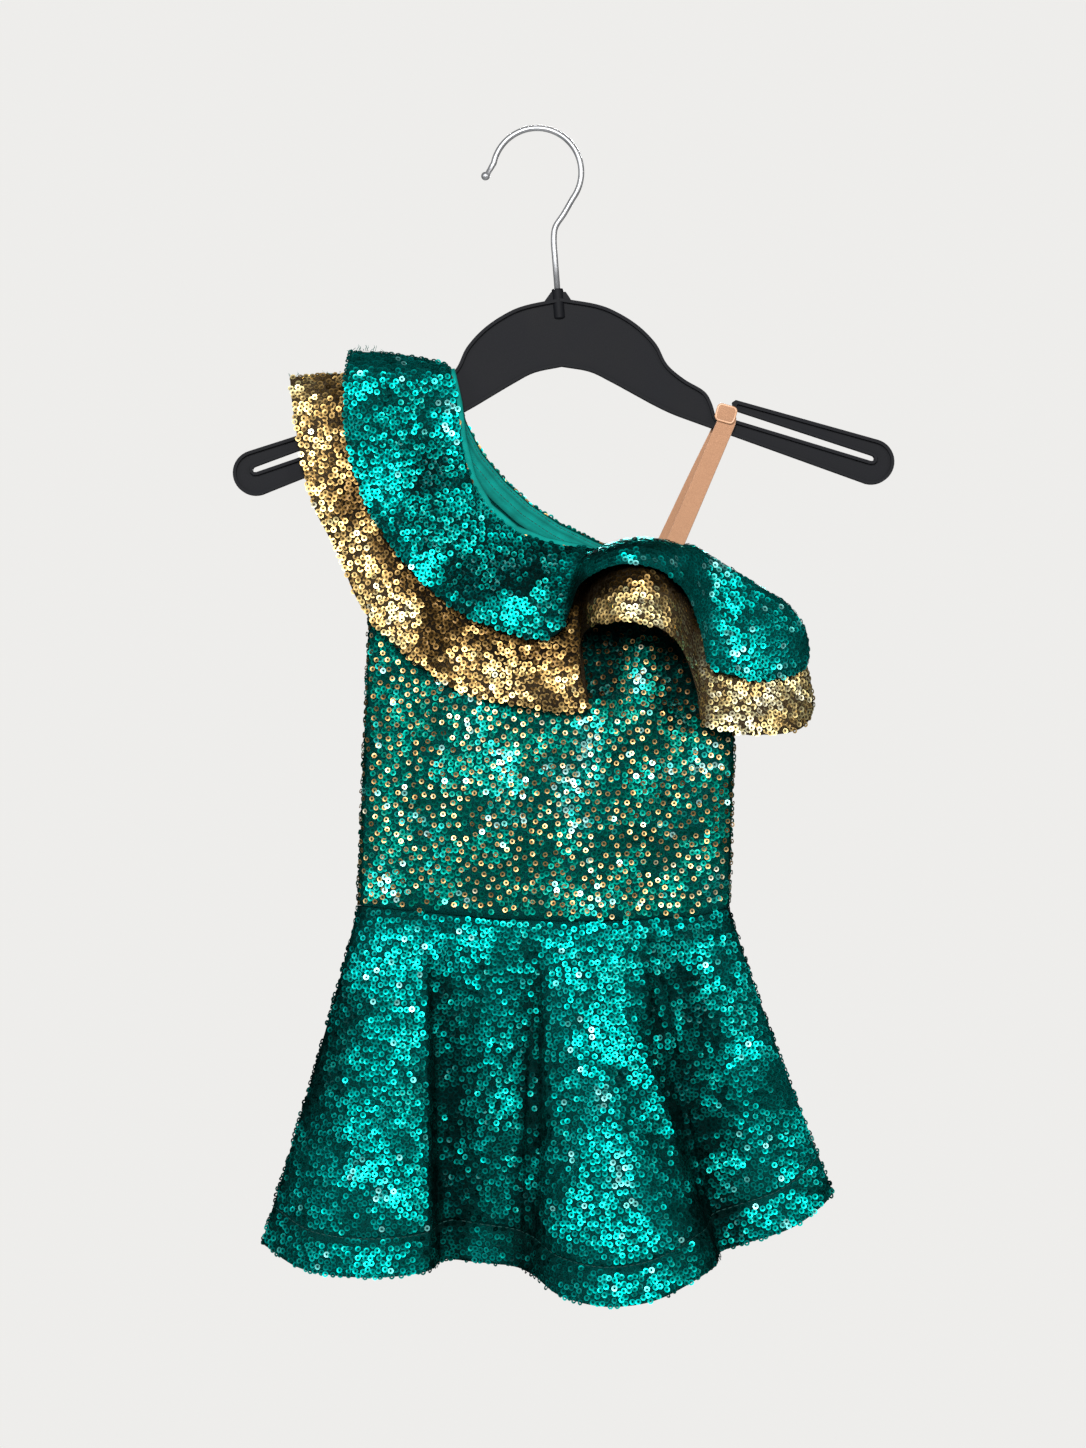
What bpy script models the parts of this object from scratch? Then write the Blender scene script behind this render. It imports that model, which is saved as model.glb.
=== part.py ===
"""Small child's one-shoulder sequin dress on a moulded hanger.

Metres, +Z up. The origin is the inside of the hook's top, where a nail or a rod holds it.
The front of the dress faces -Y. Tables are in millimetres. In them "out" is the distance
from the plane of the hanger, towards -Y on a front piece and towards +Y on a back piece.
"""

import math

import bmesh
import bpy
import numpy as np
from mathutils import Vector

MM = 0.001
FRONT = -1
BACK = 1

# Cloth, strap and gaps
CLOTH = 1.2
BINDING_CLOTH = 0.9
BINDING_WIDTH = 9.0
BINDING_BELOW_EDGE = 0.6
BINDING_STATIONS = 25
STRAP_CLOTH = 1.0
STRAP_WIDTH = 10.0
GAP = 0.35
SEAM_OUT = 0.8  # half the distance between a front and a back wall at their seam
LAYER = CLOTH + GAP  # one sewn layer over another

# Hanger and hook
HANGER_X = 13.7
HANGER_PIVOT_Z = -150.0
HANGER_TILT = math.radians(1.04)
HANGER_HALF_SPAN = 177.8
HANGER_THICK = 6.0
WEB_THICK = 2.0
RIM = 1.8
ARM_END_RADIUS = 12.2
ARM_END_STEPS = 8
WIRE = 3.2
HOOK_RADIUS = 23.8
HOOK_FROM = math.radians(168)
HOOK_TO = math.radians(-36)
HOOK_STEPS = 24
BALL_SWELL = 1.45
WIRE_END_TAPER = 0.85
BOSS_RADIUS = 3.1
BORE_RADIUS = 1.9
BOSS_TOP = -85.0
BOSS_BOTTOM = -101.0
BORE_TOP = -84.0
BORE_BOTTOM = -98.2
STEM_BOTTOM = -97.8
BOSS_SIDES = 4

# The slider on the strap
SLIDER_WIDTH = 10.4
SLIDER_HEIGHT = 9.4
SLIDER_CORNER = 2.4
SLIDER_CORNER_STEPS = 3
SLIDER_WIRE = 1.4
SLIDER_BAR_SHARE = 0.8  # the bar is a little thinner than the ring

# Side seams of the bodice and the half depth of the flat bodice
BODICE_SIDES = {
    "z": (-416.0, -360.0, -306.0, -255.0, -190.0, -150.0, -120.0),
    "left": (-96.3, -93.9, -91.5, -89.6, -89.6, -89.6, -89.6),
    "right": (103.3, 104.4, 106.5, 107.6, 107.6, 107.6, 107.6),
    "half_depth": (11.5, 13.0, 13.0, 12.0, 9.5, 6.8, 6.2),
}
SIDE_ROUNDING = 0.4
SHOULDER_CLOSE = 6.0  # height over which the strap closes over the hanger

WAIST_SEAM = {
    "x": (-96.3, -57.6, -19.9, 12.4, 55.4, 87.7, 103.3),
    "z": (-416.4, -420.2, -423.4, -424.5, -423.9, -421.8, -417.5),
}
SHOULDER_TIP = (-71.6, -141.5)
NECK_POINT = (-47.9, -126.6)

# Upper outline of the front panel: share of the panel's width, x, z
FRONT_TOP = (
    (0.00, -89.6, -248.0),
    (0.05, -84.0, -225.0),
    (0.10, -77.5, -196.0),
    (0.15, -74.0, -166.0),
    (0.19, *SHOULDER_TIP),
    (0.33, *NECK_POINT),
    (0.35, -46.7, -131.2),
    (0.40, -43.0, -144.7),
    (0.46, -39.8, -161.9),
    (0.52, -32.3, -179.7),
    (0.58, -21.0, -195.3),
    (0.64, -7.0, -208.2),
    (0.70, 8.1, -218.4),
    (0.76, 25.8, -226.5),
    (0.82, 42.0, -232.4),
    (0.87, 58.1, -238.3),
    (0.91, 74.2, -244.3),
    (0.96, 90.4, -250.7),
    (1.00, 107.6, -258.8),
)
# The same for the back panel, whose neckline is a little higher
BACK_TOP = (
    (0.00, -89.6, -248.0),
    (0.05, -83.0, -222.0),
    (0.10, -76.5, -190.0),
    (0.15, -73.0, -162.0),
    (0.19, *SHOULDER_TIP),
    (0.33, *NECK_POINT),
    (0.35, -46.5, -131.2),
    (0.40, -42.5, -140.5),
    (0.46, -38.0, -156.5),
    (0.52, -29.6, -172.7),
    (0.58, -17.2, -187.8),
    (0.64, -3.8, -200.1),
    (0.70, 12.4, -210.9),
    (0.76, 31.2, -220.0),
    (0.82, 47.3, -226.5),
    (0.87, 63.5, -234.0),
    (0.91, 79.6, -241.6),
    (0.96, 94.2, -249.6),
    (1.00, 107.6, -258.8),
)
NECK_FROM_SHARE = 0.405
NECK_TO_SHARE = 0.93

# Skirt folds, a row each: x at the waist, then x, z and out at the hem
FRONT_FOLDS = (
    (-96.3, -148.0, -598.3, SEAM_OUT),
    (-85.5, -126.3, -609.1, 19.0),
    (-74.8, -99.2, -612.4, 29.0),
    (-65.6, -73.9, -611.9, 29.0),
    (-59.0, -56.8, -609.6, 23.0),
    (-55.0, -52.2, -607.3, 11.0),
    (-50.0, -43.9, -605.5, 6.0),
    (-38.0, -28.0, -607.4, 8.0),
    (-22.0, -11.8, -609.4, 13.0),
    (-9.0, -1.1, -613.0, 21.0),
    (4.0, 12.2, -621.1, 36.0),
    (20.0, 33.2, -625.3, 46.0),
    (34.0, 54.2, -624.1, 47.0),
    (46.0, 70.2, -619.4, 43.0),
    (55.0, 86.1, -611.5, 35.0),
    (60.5, 95.2, -606.7, 24.0),
    (65.0, 99.0, -601.5, 12.0),
    (74.0, 113.0, -596.9, 8.5),
    (87.0, 136.0, -588.9, 10.0),
    (96.0, 151.5, -578.6, 6.5),
    (103.3, 159.2, -571.4, SEAM_OUT),
)
BACK_FOLDS = (
    (-96.3, -148.0, -598.3, SEAM_OUT),
    (-80.0, -130.0, -606.0, 14.0),
    (-62.0, -104.0, -611.0, 24.0),
    (-48.0, -84.0, -609.0, 18.0),
    (-36.0, -68.0, -606.0, 8.0),
    (-20.0, -46.0, -609.0, 14.0),
    (-2.0, -16.0, -614.0, 27.0),
    (16.0, 12.0, -615.0, 30.0),
    (32.0, 38.0, -610.0, 20.0),
    (44.0, 58.0, -606.0, 9.0),
    (58.0, 80.0, -607.0, 14.0),
    (74.0, 104.0, -603.0, 25.0),
    (88.0, 130.0, -592.0, 20.0),
    (97.0, 148.0, -582.0, 10.0),
    (103.3, 159.2, -571.4, SEAM_OUT),
)

# Ruffle sections from the shoulder to the right underarm, a row each: x and z of the seam
# and how far it lies over the bodice, then x, z and out of the point that the section bends
# towards, and of the free edge. Where the ruffle rolls over, teal lies behind gold at the seam.
GOLD_FRONT = (
    (-47.9, -128.0, 1.9 * LAYER, -90.0, -130.0, 3.4, -132.9, -132.3, SEAM_OUT),
    (-44.5, -139.0, 1.6 * LAYER, -86.0, -143.0, 16.0, -131.0, -149.0, 7.0),
    (-41.5, -153.0, LAYER, -86.0, -163.0, 14.0, -127.0, -172.0, 10.0),
    (-38.0, -167.0, LAYER, -80.0, -185.0, 14.0, -119.5, -203.0, 12.0),
    (-31.0, -182.0, LAYER, -70.0, -206.0, 14.0, -106.0, -229.0, 11.0),
    (-21.0, -195.0, LAYER, -57.0, -228.0, 17.0, -92.5, -259.0, 14.0),
    (-8.0, -207.5, LAYER, -40.0, -245.0, 17.0, -70.0, -281.5, 18.0),
    (5.0, -216.0, LAYER, -21.0, -256.0, 19.0, -43.0, -300.5, 17.0),
    (17.0, -222.5, LAYER, -2.0, -262.0, 19.0, -12.0, -308.5, 20.0),
    (27.0, -227.0, LAYER, 14.0, -248.0, 20.0, 25.0, -309.8, 21.0),
    (33.0, -229.0, LAYER, 20.0, -242.0, 21.0, 24.0, -292.0, 24.0),
    (38.0, -231.0, LAYER, 25.0, -236.0, 24.0, 23.0, -274.0, 32.0),
    (44.0, -233.0, LAYER, 32.0, -222.0, 28.0, 29.0, -264.5, 48.0),
    (50.0, -235.5, LAYER, 44.0, -214.0, 36.0, 41.0, -261.0, 60.0),
    (57.0, -238.0, LAYER, 56.0, -212.0, 42.0, 55.0, -262.0, 63.0),
    (64.0, -240.5, LAYER, 67.0, -213.0, 38.0, 69.0, -268.0, 58.0),
    (70.0, -243.0, LAYER, 73.0, -220.0, 30.0, 78.5, -281.0, 45.0),
    (76.0, -245.0, LAYER, 79.0, -224.0, 24.0, 85.0, -300.0, 33.0),
    (82.0, -247.5, LAYER, 85.0, -225.0, 20.0, 87.5, -315.0, 26.0),
    (90.0, -250.5, LAYER, 95.0, -226.0, 17.0, 96.0, -321.0, 21.0),
    (98.0, -254.0, LAYER, 109.0, -229.0, 14.0, 118.0, -325.0, 18.0),
    (104.0, -256.8, LAYER, 125.0, -236.0, 11.0, 138.0, -322.5, 12.0),
    (107.0, -258.5, LAYER, 137.0, -246.0, 6.0, 146.5, -316.0, 5.5),
    (107.6, -258.8, 1.1 * LAYER, 143.0, -250.0, SEAM_OUT, 148.5, -308.0, SEAM_OUT),
)
TEAL_FRONT = (
    (-47.9, -126.0, 2.9 * LAYER, -75.0, -119.0, 5.0, -100.6, -118.9, SEAM_OUT),
    (-44.5, -138.0, 2.7 * LAYER, -75.0, -133.0, 20.0, -102.5, -133.0, 12.0),
    (-41.5, -152.0, 2 * LAYER, -72.0, -155.0, 18.0, -102.8, -156.0, 15.0),
    (-38.0, -166.0, 2 * LAYER, -69.0, -177.0, 19.0, -100.0, -176.0, 16.0),
    (-31.0, -181.0, 2 * LAYER, -62.0, -196.0, 19.0, -93.0, -197.0, 16.0),
    (-21.0, -194.0, 2 * LAYER, -50.0, -214.0, 22.0, -83.0, -216.0, 19.0),
    (-8.0, -206.5, 2 * LAYER, -33.0, -228.0, 22.0, -66.0, -238.0, 21.0),
    (5.0, -215.0, 2 * LAYER, -15.0, -238.0, 24.0, -43.0, -258.0, 23.0),
    (17.0, -221.5, 2 * LAYER, 3.0, -243.0, 25.0, -17.0, -269.5, 25.0),
    (27.0, -224.8, 1.9 * LAYER, 13.0, -238.0, 26.0, 2.0, -273.0, 26.0),
    (33.0, -226.6, LAYER, 18.0, -231.0, 27.0, 12.5, -268.5, 27.0),
    (38.0, -228.6, 0.2, 20.0, -221.0, 28.0, 17.8, -256.0, 31.0),
    (44.0, -230.6, 0.2, 27.0, -218.0, 29.0, 22.0, -244.0, 42.0),
    (50.0, -233.1, 0.2, 40.0, -212.0, 30.0, 31.0, -236.0, 50.0),
    (57.0, -235.6, 0.2, 56.0, -208.5, 30.0, 46.0, -230.5, 53.0),
    (64.0, -238.1, 0.2, 69.0, -208.0, 30.0, 62.0, -233.0, 52.0),
    (70.0, -240.6, 0.2, 79.0, -206.0, 29.0, 75.5, -243.0, 46.0),
    (76.0, -242.6, 0.2, 87.0, -199.0, 27.0, 83.0, -257.0, 38.0),
    (82.0, -245.1, 0.2, 93.0, -199.0, 25.0, 87.5, -271.0, 32.0),
    (90.0, -248.1, 0.2, 101.0, -201.0, 23.0, 92.0, -287.0, 27.0),
    (98.0, -251.6, 0.2, 115.0, -211.0, 21.0, 107.0, -293.5, 23.0),
    (104.0, -254.4, 0.2, 131.0, -225.0, 17.0, 130.0, -295.0, 17.0),
    (107.0, -256.1, 0.2, 144.0, -238.0, 10.0, 143.0, -289.0, 8.5),
    (107.6, -256.4, 0.2, 148.0, -250.0, 2.6, 146.0, -284.0, 2.6),
)
GOLD_BACK = (
    (-47.9, -128.0, 1.9 * LAYER, -90.0, -130.0, 3.4, -132.5, -132.5, SEAM_OUT),
    (-43.5, -138.0, 1.3 * LAYER, -84.0, -143.0, 16.0, -129.5, -150.0, 8.0),
    (-38.7, -155.5, LAYER, -80.0, -170.0, 14.0, -121.0, -183.0, 12.0),
    (-29.6, -172.7, LAYER, -69.0, -195.0, 14.0, -109.0, -213.0, 11.0),
    (-17.2, -187.8, LAYER, -54.0, -215.0, 17.0, -92.0, -243.0, 17.0),
    (-3.8, -200.0, LAYER, -35.0, -236.0, 17.0, -71.0, -270.0, 16.0),
    (12.4, -211.0, LAYER, -12.0, -250.0, 20.0, -43.0, -292.0, 23.0),
    (31.0, -220.0, LAYER, 14.0, -258.0, 18.0, -8.0, -303.0, 16.0),
    (47.3, -226.5, LAYER, 38.0, -262.0, 22.0, 28.0, -304.0, 26.0),
    (63.5, -234.0, LAYER, 60.0, -262.0, 20.0, 60.0, -306.0, 17.0),
    (79.6, -241.6, LAYER, 84.0, -250.0, 20.0, 90.0, -312.0, 24.0),
    (94.2, -249.6, LAYER, 108.0, -232.0, 17.0, 118.0, -319.0, 17.0),
    (104.9, -256.6, LAYER, 131.0, -236.0, 10.0, 140.5, -316.5, 9.0),
    (107.6, -258.8, 1.1 * LAYER, 143.0, -250.0, SEAM_OUT, 148.5, -308.0, SEAM_OUT),
)
TEAL_BACK = (
    (-47.9, -126.0, 2.9 * LAYER, -75.0, -119.0, 5.0, -100.6, -118.9, SEAM_OUT),
    (-43.5, -137.0, 2.8 * LAYER, -73.0, -133.0, 20.0, -102.0, -134.0, 12.5),
    (-38.7, -154.5, 2 * LAYER, -68.0, -158.0, 19.0, -98.0, -165.0, 16.0),
    (-29.6, -171.7, 2 * LAYER, -58.0, -180.0, 19.0, -88.0, -192.0, 16.0),
    (-17.2, -186.8, 2 * LAYER, -43.0, -200.0, 21.0, -72.0, -215.0, 21.0),
    (-3.8, -199.0, 2 * LAYER, -26.0, -216.0, 22.0, -52.0, -236.0, 21.0),
    (12.4, -210.0, 2 * LAYER, -6.0, -228.0, 25.0, -27.0, -250.0, 27.0),
    (31.0, -219.0, 2 * LAYER, 18.0, -236.0, 24.0, 4.0, -262.0, 22.0),
    (47.3, -225.5, 2 * LAYER, 40.0, -236.0, 27.0, 32.0, -268.0, 30.0),
    (63.5, -231.6, LAYER, 62.0, -234.0, 25.0, 60.0, -275.0, 23.0),
    (79.6, -239.2, 0.2, 86.0, -222.0, 25.0, 84.0, -284.0, 28.0),
    (94.2, -247.2, 0.2, 110.0, -212.0, 22.0, 108.0, -290.0, 22.0),
    (104.9, -254.2, 0.2, 133.0, -229.0, 13.0, 136.0, -289.0, 12.5),
    (107.6, -256.4, 0.2, 148.0, -250.0, 2.6, 146.0, -284.0, 2.6),
)

# Strap, a row for each point of its middle: x, z, y
STRAP = (
    (61.3, -252.0, -6.6),
    (65.1, -243.0, -7.0),
    (75.3, -219.0, -6.6),
    (88.5, -188.0, -5.4),
    (99.1, -163.0, -4.4),
    (101.4, -157.6, -4.2),
    (102.0, -154.9, -4.1),
    (102.2, -153.5, -2.8),
    (102.3, -153.2, 0.0),
    (102.1, -153.5, 2.8),
    (101.8, -154.9, 4.1),
    (100.4, -157.6, 4.2),
    (97.8, -163.0, 4.4),
    (86.5, -186.0, 4.6),
    (73.7, -213.0, 5.2),
    (62.7, -236.0, 5.8),
    (58.4, -245.0, 6.2),
)
STRAP_LEAN = math.radians(15.9)
SLIDER_MIDDLE = (101.0, -152.2)
SLIDER_Y = -5.6

# Half outline of the hanger, from its middle line: across, z
HANGER_TOP = (
    (0.0, -90.2),
    (19.3, -93.8),
    (30.7, -98.5),
    (42.0, -106.1),
    (51.1, -115.9),
    (56.7, -126.8),
    (65.7, -134.9),
    (76.0, -141.3),
    (80.0, -147.5),
    (82.6, -156.9),
)
SLOT_LOWER = ((90.5, -156.6), (165.9, -180.8))
SLOT_UPPER = ((165.9, -177.6), (94.5, -152.8))
FINGER_TIP = ((91.6, -150.8), (91.2, -147.8), (93.2, -146.6))
HANGER_BOTTOM = (
    (88.4, -164.6),
    (78.2, -160.7),
    (60.1, -153.7),
    (48.8, -148.1),
    (37.4, -141.6),
    (26.1, -135.2),
    (14.8, -129.6),
    (0.0, -126.7),
)
ARM_END_MIDDLE = (HANGER_HALF_SPAN - ARM_END_RADIUS, -181.0)
ARM_SLOPE = math.radians(-16.2)
POCKET_END = 77.0

# Hook below its round top: x, z of the wire's middle
HOOK_NECK = (
    (14.4, -44.6),
    (9.9, -51.6),
    (9.0, -58.6),
    (9.6, -68.0),
)
STEM_FOOT = (11.9, STEM_BOTTOM)
BALL = ((-27.9, -25.6), (-27.3, -24.4), (-26.2, -22.6), (-24.9, -20.8))

COLUMNS_PER_FOLD = 3
COLUMNS_PER_SECTION = 2
PANEL_RISES = (0.0, 0.11, 0.22, 0.33, 0.44, 0.55, 0.66, 0.76, 0.85, 0.92, 0.96, 0.978, 0.989, 1.0)
SKIRT_ROWS = 8
SKIRT_FLARE = 1.1  # above 1 the skirt's sides curve outwards on their way down
GOLD_ROWS = 7
TEAL_ROWS = 5
SMOOTH_STEPS = 3
OUTLINE_STEPS = 2
WELD = 0.000001

COLOURS = {  # red, green, blue, roughness, metallic
    "teal_gold_sequin_cloth": (0.02, 0.30, 0.25, 0.35, 0.6),
    "teal_sequin_cloth": (0.0, 0.36, 0.32, 0.35, 0.6),
    "gold_sequin_cloth": (0.62, 0.42, 0.14, 0.35, 0.8),
    "teal_binding": (0.0, 0.30, 0.27, 0.7, 0.0),
    "tan_elastic": (0.60, 0.34, 0.20, 0.8, 0.0),
    "black_plastic": (0.02, 0.022, 0.026, 0.5, 0.0),
    "chrome": (0.75, 0.75, 0.76, 0.15, 1.0),
}


def empty_scene():
    for item in list(bpy.data.objects):
        bpy.data.objects.remove(item, do_unlink=True)


def new_collection(name):
    collection = bpy.data.collections.new(name)
    bpy.context.scene.collection.children.link(collection)
    return collection


def material(name):
    found = bpy.data.materials.get(name)
    if found:
        return found
    red, green, blue, roughness, metallic = COLOURS[name]
    made = bpy.data.materials.new(name)
    made.use_nodes = True
    shader = made.node_tree.nodes["Principled BSDF"]
    shader.inputs["Base Color"].default_value = (red, green, blue, 1.0)
    shader.inputs["Roughness"].default_value = roughness
    shader.inputs["Metallic"].default_value = metallic
    return made


def smooth_rows(rows, steps):
    """The rows with steps - 1 more between each two, on a Catmull-Rom curve through them."""
    table = np.array(rows, dtype=float)
    ends = np.vstack([2 * table[0] - table[1], table, 2 * table[-1] - table[-2]])
    out = []
    for i in range(len(table) - 1):
        before, start, end, after = ends[i : i + 4]
        for step in range(steps):
            t = step / steps
            out.append(
                start
                + 0.5 * t * (end - before)
                + t * t * (before - 2.5 * start + 2 * end - 0.5 * after)
                + 0.5 * t**3 * (after - before + 3 * (start - end))
            )
    out.append(table[-1])
    return np.array(out)


def smooth_step(t):
    t = min(max(t, 0.0), 1.0)
    return t * t * (3 - 2 * t)


def add_mesh_object(name, mesh, collection, slot):
    made = bpy.data.objects.new(name, mesh)
    collection.objects.link(made)
    mesh.materials.clear()
    mesh.materials.append(material(slot))
    return made


def cloth_wall(name, grid, thickness, collection, slot):
    """A wall of cloth on a grid of points in millimetres, half its thickness on each side."""
    mesh = bpy.data.meshes.new(name)
    work = bmesh.new()
    rows = [[work.verts.new(Vector(point) * MM) for point in line] for line in grid]
    for line, above in zip(rows, rows[1:]):
        for i in range(len(line) - 1):
            work.faces.new((line[i], line[i + 1], above[i + 1], above[i]))
    work.to_mesh(mesh)
    work.free()
    mesh.shade_smooth()
    made = add_mesh_object(name, mesh, collection, slot)
    wall = made.modifiers.new("wall", "SOLIDIFY")
    wall.thickness = thickness * MM
    wall.offset = 0.0
    return made


def waist_z(x):
    return float(np.interp(x, WAIST_SEAM["x"], WAIST_SEAM["z"]))


def body_out(x, z):
    """How far the flat bodice stands out from the hanger's plane at a point of its outline."""
    heights = BODICE_SIDES["z"]
    left = np.interp(z, heights, BODICE_SIDES["left"])
    right = np.interp(z, heights, BODICE_SIDES["right"])
    depth = np.interp(z, heights, BODICE_SIDES["half_depth"])
    across = (2 * x - left - right) / (right - left)
    rounding = max(0.0, 1.0 - across * across) ** SIDE_ROUNDING
    full = SEAM_OUT + (depth - SEAM_OUT) * rounding
    along = (x - SHOULDER_TIP[0]) / (NECK_POINT[0] - SHOULDER_TIP[0])
    seam_z = SHOULDER_TIP[1] + along * (NECK_POINT[1] - SHOULDER_TIP[1])
    below = min(max(seam_z, SHOULDER_TIP[1]), NECK_POINT[1]) - z
    return SEAM_OUT + (full - SEAM_OUT) * smooth_step(below / SHOULDER_CLOSE)


def bodice_grid(top, side, per_step):
    """Columns from the waist seam up to the armhole, shoulder and neckline."""
    table = np.array(top)
    given = table[:, 0]
    shares = []
    for start, end in zip(given, given[1:]):
        shares.extend(np.linspace(start, end, per_step, endpoint=False))
    shares.append(given[-1])
    left, right = WAIST_SEAM["x"][0], WAIST_SEAM["x"][-1]
    grid = []
    for rise in PANEL_RISES:
        line = []
        for share in shares:
            foot_x = left + share * (right - left)
            foot_z = waist_z(foot_x) + GAP / 2
            x = foot_x + rise * (np.interp(share, table[:, 0], table[:, 1]) - foot_x)
            z = foot_z + rise * (np.interp(share, table[:, 0], table[:, 2]) - foot_z)
            line.append((x, side * body_out(x, z), z))
        grid.append(line)
    return grid


def skirt_grid(folds, side):
    """Rows from the waist seam to the hem. Each fold grows evenly on its way down."""
    columns = smooth_rows(folds, COLUMNS_PER_FOLD)
    grid = []
    for row in range(SKIRT_ROWS + 1):
        drop = row / SKIRT_ROWS
        line = []
        for waist_x, hem_x, hem_z, hem_out in columns:
            top_z = waist_z(waist_x) - GAP / 2
            top_out = body_out(waist_x, top_z)
            x = waist_x + drop**SKIRT_FLARE * (hem_x - waist_x)
            z = top_z + drop * (hem_z - top_z)
            out = top_out + drop * (hem_out - top_out)
            line.append((x, side * out, z))
        grid.append(line)
    return grid


def ruffle_grid(sections, side, rows):
    """Each section is a bent line from the neckline seam to the free edge."""
    stations = smooth_rows(sections, COLUMNS_PER_SECTION)
    grid = []
    for row in range(rows + 1):
        v = row / rows
        line = []
        for station in stations:
            seam_x, seam_z, over = station[0:3]
            seam = np.array((seam_x, seam_z, body_out(seam_x, seam_z) + over))
            bend, edge = station[3:6], station[6:9]
            x, z, out = (1 - v) ** 2 * seam + 2 * v * (1 - v) * bend + v * v * edge
            line.append((x, side * out, z))
        grid.append(line)
    return grid


def binding_grid():
    """A strip on the inside of the back panel, along its neckline."""
    table = np.array(BACK_TOP)
    inward = CLOTH / 2 + GAP + BINDING_CLOTH / 2
    points = []
    for share in np.linspace(NECK_FROM_SHARE, NECK_TO_SHARE, BINDING_STATIONS):
        x = np.interp(share, table[:, 0], table[:, 1])
        points.append((x, np.interp(share, table[:, 0], table[:, 2])))
    grid = []
    for width in (BINDING_BELOW_EDGE, BINDING_WIDTH / 2, BINDING_WIDTH):
        line = []
        for i, (x, z) in enumerate(points):
            before, after = points[max(i - 1, 0)], points[min(i + 1, len(points) - 1)]
            along = Vector((after[0] - before[0], after[1] - before[1])).normalized()
            low_x = x + width * along.y
            low_z = z - width * along.x
            line.append((low_x, BACK * (body_out(low_x, low_z) - inward), low_z))
        grid.append(line)
    return grid


def strap_grid():
    path = smooth_rows(STRAP, SMOOTH_STEPS)
    across = Vector((math.cos(STRAP_LEAN), 0.0, -math.sin(STRAP_LEAN))) * STRAP_WIDTH / 2
    middles = [Vector((x, y, z)) for x, z, y in path]
    return [[middle - across, middle, middle + across] for middle in middles]


def tube(name, points, radius, collection, slot, swell=(), closed=False, sides=2):
    """A round wire along points in millimetres. swell holds (point number, radius factor)."""
    curve = bpy.data.curves.new(name, "CURVE")
    curve.dimensions = "3D"
    curve.bevel_depth = radius * MM
    curve.bevel_resolution = sides
    curve.use_fill_caps = True
    wire = curve.splines.new("POLY")
    wire.points.add(len(points) - 1)
    wire.use_cyclic_u = closed
    for knot, point in zip(wire.points, points):
        knot.co = (*(Vector(point) * MM), 1.0)
    for number, factor in swell:
        wire.points[number].radius = factor
    made = bpy.data.objects.new(name, curve)
    collection.objects.link(made)
    curve.materials.append(material(slot))
    return made


def plate(name, outline, thickness, collection, slot):
    """A flat plate on a closed outline of (x, z) in millimetres, centred on Y = 0."""
    curve = bpy.data.curves.new(name, "CURVE")
    curve.dimensions = "2D"
    curve.fill_mode = "BOTH"
    curve.extrude = thickness / 2 * MM
    edge = curve.splines.new("POLY")
    edge.points.add(len(outline) - 1)
    edge.use_cyclic_u = True
    for knot, (x, z) in zip(edge.points, outline):
        knot.co = (x * MM, z * MM, 0.0, 1.0)
    made = bpy.data.objects.new(name, curve)
    made.rotation_euler = (math.pi / 2, 0.0, 0.0)
    collection.objects.link(made)
    curve.materials.append(material(slot))
    return made


def as_mesh(source, collection, slot):
    """The curve object as a welded mesh object of the same name and place."""
    bpy.context.view_layer.update()
    graph = bpy.context.evaluated_depsgraph_get()
    mesh = bpy.data.meshes.new_from_object(source.evaluated_get(graph))
    work = bmesh.new()
    work.from_mesh(mesh)
    bmesh.ops.remove_doubles(work, verts=work.verts, dist=WELD)
    bmesh.ops.recalc_face_normals(work, faces=work.faces)
    work.to_mesh(mesh)
    work.free()
    name = source.name
    place = source.matrix_world.copy()
    bpy.data.objects.remove(source, do_unlink=True)
    made = add_mesh_object(name, mesh, collection, slot)
    made.matrix_world = place
    return made


def boolean(target, other, operation):
    cut = target.modifiers.new(other.name, "BOOLEAN")
    cut.operation = operation
    cut.object = other
    other.hide_render = True
    other.display_type = "WIRE"


def hanger_place(across, z):
    """A point of the untilted hanger, moved to where the hanger hangs."""
    up = z - HANGER_PIVOT_Z
    return (
        HANGER_X + across * math.cos(HANGER_TILT) - up * math.sin(HANGER_TILT),
        HANGER_PIVOT_Z + across * math.sin(HANGER_TILT) + up * math.cos(HANGER_TILT),
    )


def hanger_half():
    """Half of the outline, clockwise from the middle of the top edge."""
    arc = []
    middle_x, middle_z = ARM_END_MIDDLE
    for step in range(ARM_END_STEPS + 1):
        angle = ARM_SLOPE + math.pi / 2 - math.pi * step / ARM_END_STEPS
        across = middle_x + ARM_END_RADIUS * math.cos(angle)
        arc.append((across, middle_z + ARM_END_RADIUS * math.sin(angle)))
    top = [tuple(point) for point in smooth_rows(HANGER_TOP, OUTLINE_STEPS)]
    bottom = [tuple(point) for point in smooth_rows(HANGER_BOTTOM, OUTLINE_STEPS)]
    return [*top, *SLOT_LOWER, *SLOT_UPPER, *FINGER_TIP, *arc, *bottom]


def both_halves(half):
    mirrored = [(-across, z) for across, z in reversed(half[1:-1])]
    return [hanger_place(across, z) for across, z in [*half, *mirrored]]


def inset(points, distance):
    """The points moved to the right of their line by distance."""
    moved = []
    for i, (across, z) in enumerate(points):
        before = points[max(i - 1, 0)]
        after = points[min(i + 1, len(points) - 1)]
        along = Vector((after[0] - before[0], after[1] - before[1])).normalized()
        moved.append((across + distance * along.y, z - distance * along.x))
    return moved


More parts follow.
